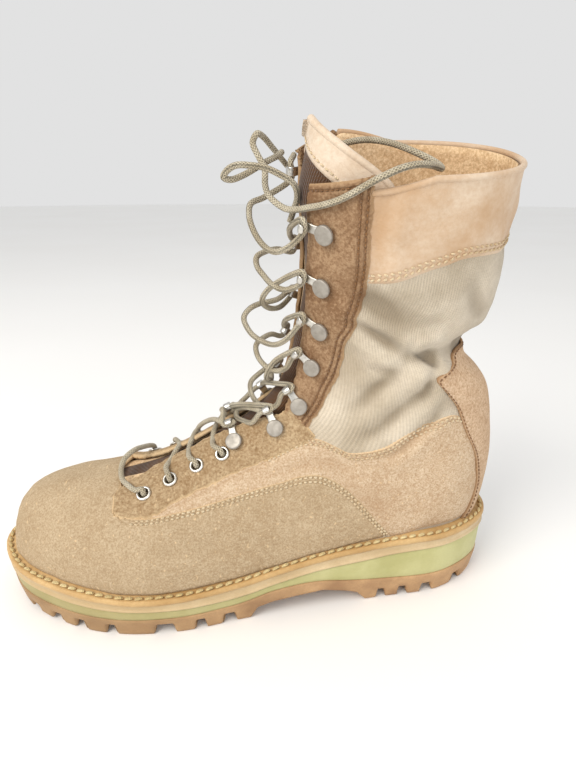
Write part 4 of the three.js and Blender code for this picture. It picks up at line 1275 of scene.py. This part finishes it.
def buildFittings():
    # hooks, and eyelets whose rim is a half circle turned round the hole
    (shape, faces), ends, capCount, capFaces = hookParts()
    caps = [[k + capCount for k in ring] for ring in ends]
    for name, u, degrees, side in fittings(outerHooks, "hook"):
        centre, axes = seat(u, degrees, side, leatherRise)
        piece = makeObject("piece_" + name, centre + shape @ axes, faces, finish["hook"], name, None, None,
                           caps)
        piece.data.materials.append(finish["strip"])
        strip = np.zeros(len(piece.data.polygons), np.int32)
        strip[capFaces:] = 1
        piece.data.polygons.foreach_set("material_index", strip)
    size = eyeletSize
    bend = np.linspace(np.pi, 0, 9)
    middle, half = (size["flange"] + size["hole"]) / 2, (size["flange"] - size["hole"]) / 2
    roll = np.stack([middle + half * np.cos(bend), 0.15 + size["height"] * np.sin(bend)], -1)
    profile = np.concatenate([[(size["hole"] + 0.1, -size["barrel"]), (size["hole"], -size["barrel"] + 0.2)],
                              roll,
                              [(size["flange"] - 0.3, -0.1), (size["hole"] + 0.5, -0.2),
                               (size["hole"] + 0.45, -size["barrel"])]])
    points, quads = latheParts(profile[::-1], 32)
    count = len(profile)
    seamFaces = np.stack([np.arange(32) + (count - 1) * 32, (np.arange(32) + 1) % 32 + (count - 1) * 32,
                          (np.arange(32) + 1) % 32, np.arange(32)], -1)
    quads = np.concatenate([quads, seamFaces])
    for name, u, degrees, side in fittings(outerEyelets, "eyelet"):
        centre, axes = seat(u, degrees, side, leatherRise)
        piece = makeObject("piece_" + name, centre + points @ axes, quads[:, ::-1], finish["eyelet"], name)


# laces
laceSize = {"radius": 1.5, "spokes": 12, "step": 0.9, "clearance": 3.0}


def throughPoints(points, step):
    # a smooth line through the points, in equal steps
    points = np.asarray(points, float)
    fine = centripetal([2 * points[0] - points[1], *points, 2 * points[-1] - points[-2]])
    run = lengths(fine)
    s = np.linspace(0, run[-1], max(int(run[-1] / step), 8))
    return np.stack([np.interp(s, run, fine[:, k]) for k in range(3)], -1)


def addLace(name, points, node):
    # a tube carried along a smooth route, given back with its path
    path = throughPoints(points, laceSize["step"])
    vertices, faces, uv, caps = tubeAlong(path, laceSize["radius"], laceSize["spokes"])
    piece = makeObject(name, vertices, faces, finish["lace"], node, {"paintedCreaseShade": np.zeros(len(vertices))}, uv,
                       caps)
    return piece, path


earRoute = [
    (87, 27, 223.5), (85, 25, 228.5), (83.5, 27, 233.5), (84, 30, 238), (86, 31, 241), (91, 31, 244),
    (98, 31, 247), (105, 31, 248), (111, 30, 248), (115, 28, 246), (117, 26, 243), (114, 24, 242),
    (108, 20, 244), (98, 13, 249.5), (94, 9.5, 251.5), (91, 6, 253), (88.5, 1, 255),
]
endRoute = [
    (84, -12, 248), (88, -7, 252), (93, 0, 257), (98, 8, 261.5), (101, 14, 262), (103, 16, 258),
    (101, 18, 253), (98, 20, 247), (98, 22, 240), (97, 24, 236), (94, 27, 232.5), (89, 31, 229.5),
    (84, 36.5, 229.5), (79.5, 41.5, 230.5), (75, 46.5, 231.5), (69, 51.5, 233.5), (64, 55, 236),
    (60, 58, 238.5), (55, 60, 241.5), (50, 61.5, 244), (44, 62, 246.5), (37, 60, 248), (29, 55, 248),
    (22, 48, 247), (23, 42, 249.5), (31, 36, 254), (39, 26, 258), (47, 16, 260), (53, 8, 260), (62, 0, 258),
]
# slack of the crossings that stands out of the throat, from each inner hook to the outer one beside it
slackLoops = [
    [(98, 8, 234), (105, 12, 231), (106, 15, 226), (105, 19, 221), (102, 22, 215), (98, 26, 211),
     (94, 30, 210),
     (89, 33, 212)],
    [(92, 2, 208), (99, 6, 207), (103, 10, 205), (103, 14, 201), (100, 18, 197), (96, 22, 193),
     (90, 26, 191)],
    [(92, 0, 181), (103, 3, 179), (108, 6, 177), (111, 9, 173), (108, 12, 166), (103, 14, 162), (96, 17, 160),
     (90, 20, 163)],
    [(96, -4, 160), (101, 0, 159), (105, 4, 156), (104, 7, 150), (99, 11, 145), (94, 14, 144), (89, 17, 147)],
    [(104, -2, 137), (109, 2, 133), (108, 6, 126), (103, 9, 121), (97, 13, 120), (94, 16, 125)],
    [(112, -6, 121), (116, -3, 118), (118, 3, 113), (113, 9, 112), (108, 14, 113)],
]
backLoops = [  # slack on the way back, from an outer hook to the next inner one
    None, [(97, 20, 191), (101, 15, 184), (98, 7, 178), (91, -2, 176)], None,
    [(95, 14, 150), (100, 10, 140), (97, 0, 134)], None,
]


def mouth(place, part=0.0, inward=0.0):
    # middle of a hook's curl, 'part' millimetres along the strip's width
    centre, axes = seat(*place[1:4], leatherRise)
    return centre + np.array([hookSize["reach"] - 0.4 + inward, part, hookSize["curl"]]) @ axes


def hookWrap(place, before):
    # the lace passes along the inside of the curl, entering on the side it comes from
    ends = [mouth(place, -3.6, 1.2), mouth(place, 3.6, 1.2)]
    if np.linalg.norm(ends[1] - before) < np.linalg.norm(ends[0] - before):
        ends.reverse()
    return [ends[0], mouth(place, 0.0), ends[1]]


def clearOf(points):
    # points nearer than the clearance to the upper's outside are moved straight out of it
    u, degrees = np.meshgrid(np.linspace(4.5, 20, 140), np.linspace(-70, 75, 110), indexing="ij")
    base, normal = skin(u, degrees).reshape(-1, 3), outward(u, degrees).reshape(-1, 3)
    points = np.array(points, float)
    nearest = np.argmin(((points[:, None] - base[None]) ** 2).sum(-1), 1)
    height = ((points - base[nearest]) * normal[nearest]).sum(-1)
    throat = (degrees.ravel()[nearest] > -12) & (degrees.ravel()[nearest] < 18)
    wanted = np.where(throat, 0.0, laceSize["clearance"])
    return list(points + normal[nearest] * np.maximum(wanted - height, 0)[:, None])


def buildCrossings():
    # from hook to hook down the throat and back, then hole to hole
    places = fittings(outerHooks, "hook")
    outer = [place for place in places if place[3] > 0]
    inner = [place for place in places if place[3] < 0]
    route = [np.array([82.0, -4, 254])]
    for k, (one, other) in enumerate(zip(inner, outer)):
        route += hookWrap(one, route[-1])
        if k < len(slackLoops):
            route += clearOf(slackLoops[k])
        else:
            route.append((mouth(one) + mouth(other)) / 2 + [3, 0, 4])
        route += hookWrap(other, route[-1])
        if k + 1 < len(inner):
            start, goal = route[-1], mouth(inner[k + 1])
            loop = backLoops[k] if k < len(backLoops) else None
            if not loop:
                lift = np.array([1.0, 0, 0.5]) * 4.5
                loop = [start * (1 - share) + goal * share + lift * math.sin(math.pi * share)
                        for share in (0.3, 0.55, 0.8)]
            route += clearOf(loop)
    addLace("laceThroughHooks", route, "lace_crossings")
    # eyelets: out of each hole, over the edge of the facing and across to the other side
    holes = {(name[-1], side): seat(u, degrees, side, leatherRise)
             for name, u, degrees, side in fittings(outerEyelets, "eyelet")}
    slack = [
        [(130, 14, 98.5), (131.5, 8, 101.5), (131, 3, 104)],
        [(144, 15, 92.5), (146, 8, 95), (145, 1, 97)],
        [(157.5, 16, 87), (157, 10, 90), (154, 4, 93.5), (152, -2, 92)],
        [(174.5, 24, 79), (179, 20.5, 80), (183, 16.5, 82.5), (184.5, 11.5, 87.5), (183, 7, 91.5),
         (179, 2, 93.5), (175.5, -5, 92)],
    ]
    for k in range(4):
        centre, axes = holes[(str(k + 1), 1)]
        farCentre, farAxes = holes[(str(k + 1), -1)]
        start = [centre - axes[2] * 4.0, centre + axes[2] * 0.6, centre + axes[2] * 2.6 + axes[0] * 1.6]
        finishing = [farCentre + farAxes[2] * 2.6 + farAxes[0] * 1.6, farCentre + farAxes[2] * 0.6,
                     farCentre - farAxes[2] * 4.0]
        addLace(f"laceEyelets{k + 1}", start + clearOf(slack[k]) + finishing, None)
    # second strand between the lower hooks and the eyelets, across the tongue
    low = [outer[5], outer[6]]
    for k, place in enumerate(low):
        centre, axes = holes[("1", -1)] if k == 0 else holes[("2", -1)]
        begin = mouth(place, 1.0)
        addLace(f"laceLower{k + 1}", [begin, begin * 0.6 + (centre + axes[2] * 3) * 0.4 + [1, 0, 5],
                                      centre + axes[2] * 2.6 + axes[0] * 1.5, centre - axes[2] * 2.5], None)


def buildLaces():
    # the two loose ends, then the crossings
    ear, path = addLace("laceEar", earRoute, "lace_ear")
    end, path = addLace("laceEnd", endRoute, "lace_end")
    buildCrossings()


buildLaces()
print("laces done")
buildUpper()
print("panels done")
buildLining()
buildRim()
buildTongue()
print("lining and tongue done")
buildSole()
buildInsole()
print("sole done")
buildFittings()
for thread, parts in seams.items():
    vertices, faces = joined(parts)
    piece = makeObject("seams_" + thread, vertices, faces, finish[thread], None,
                       {"paintedCreaseShade": np.zeros(len(vertices))}, vertices[:, [0, 2]])
print("fittings and seams done")
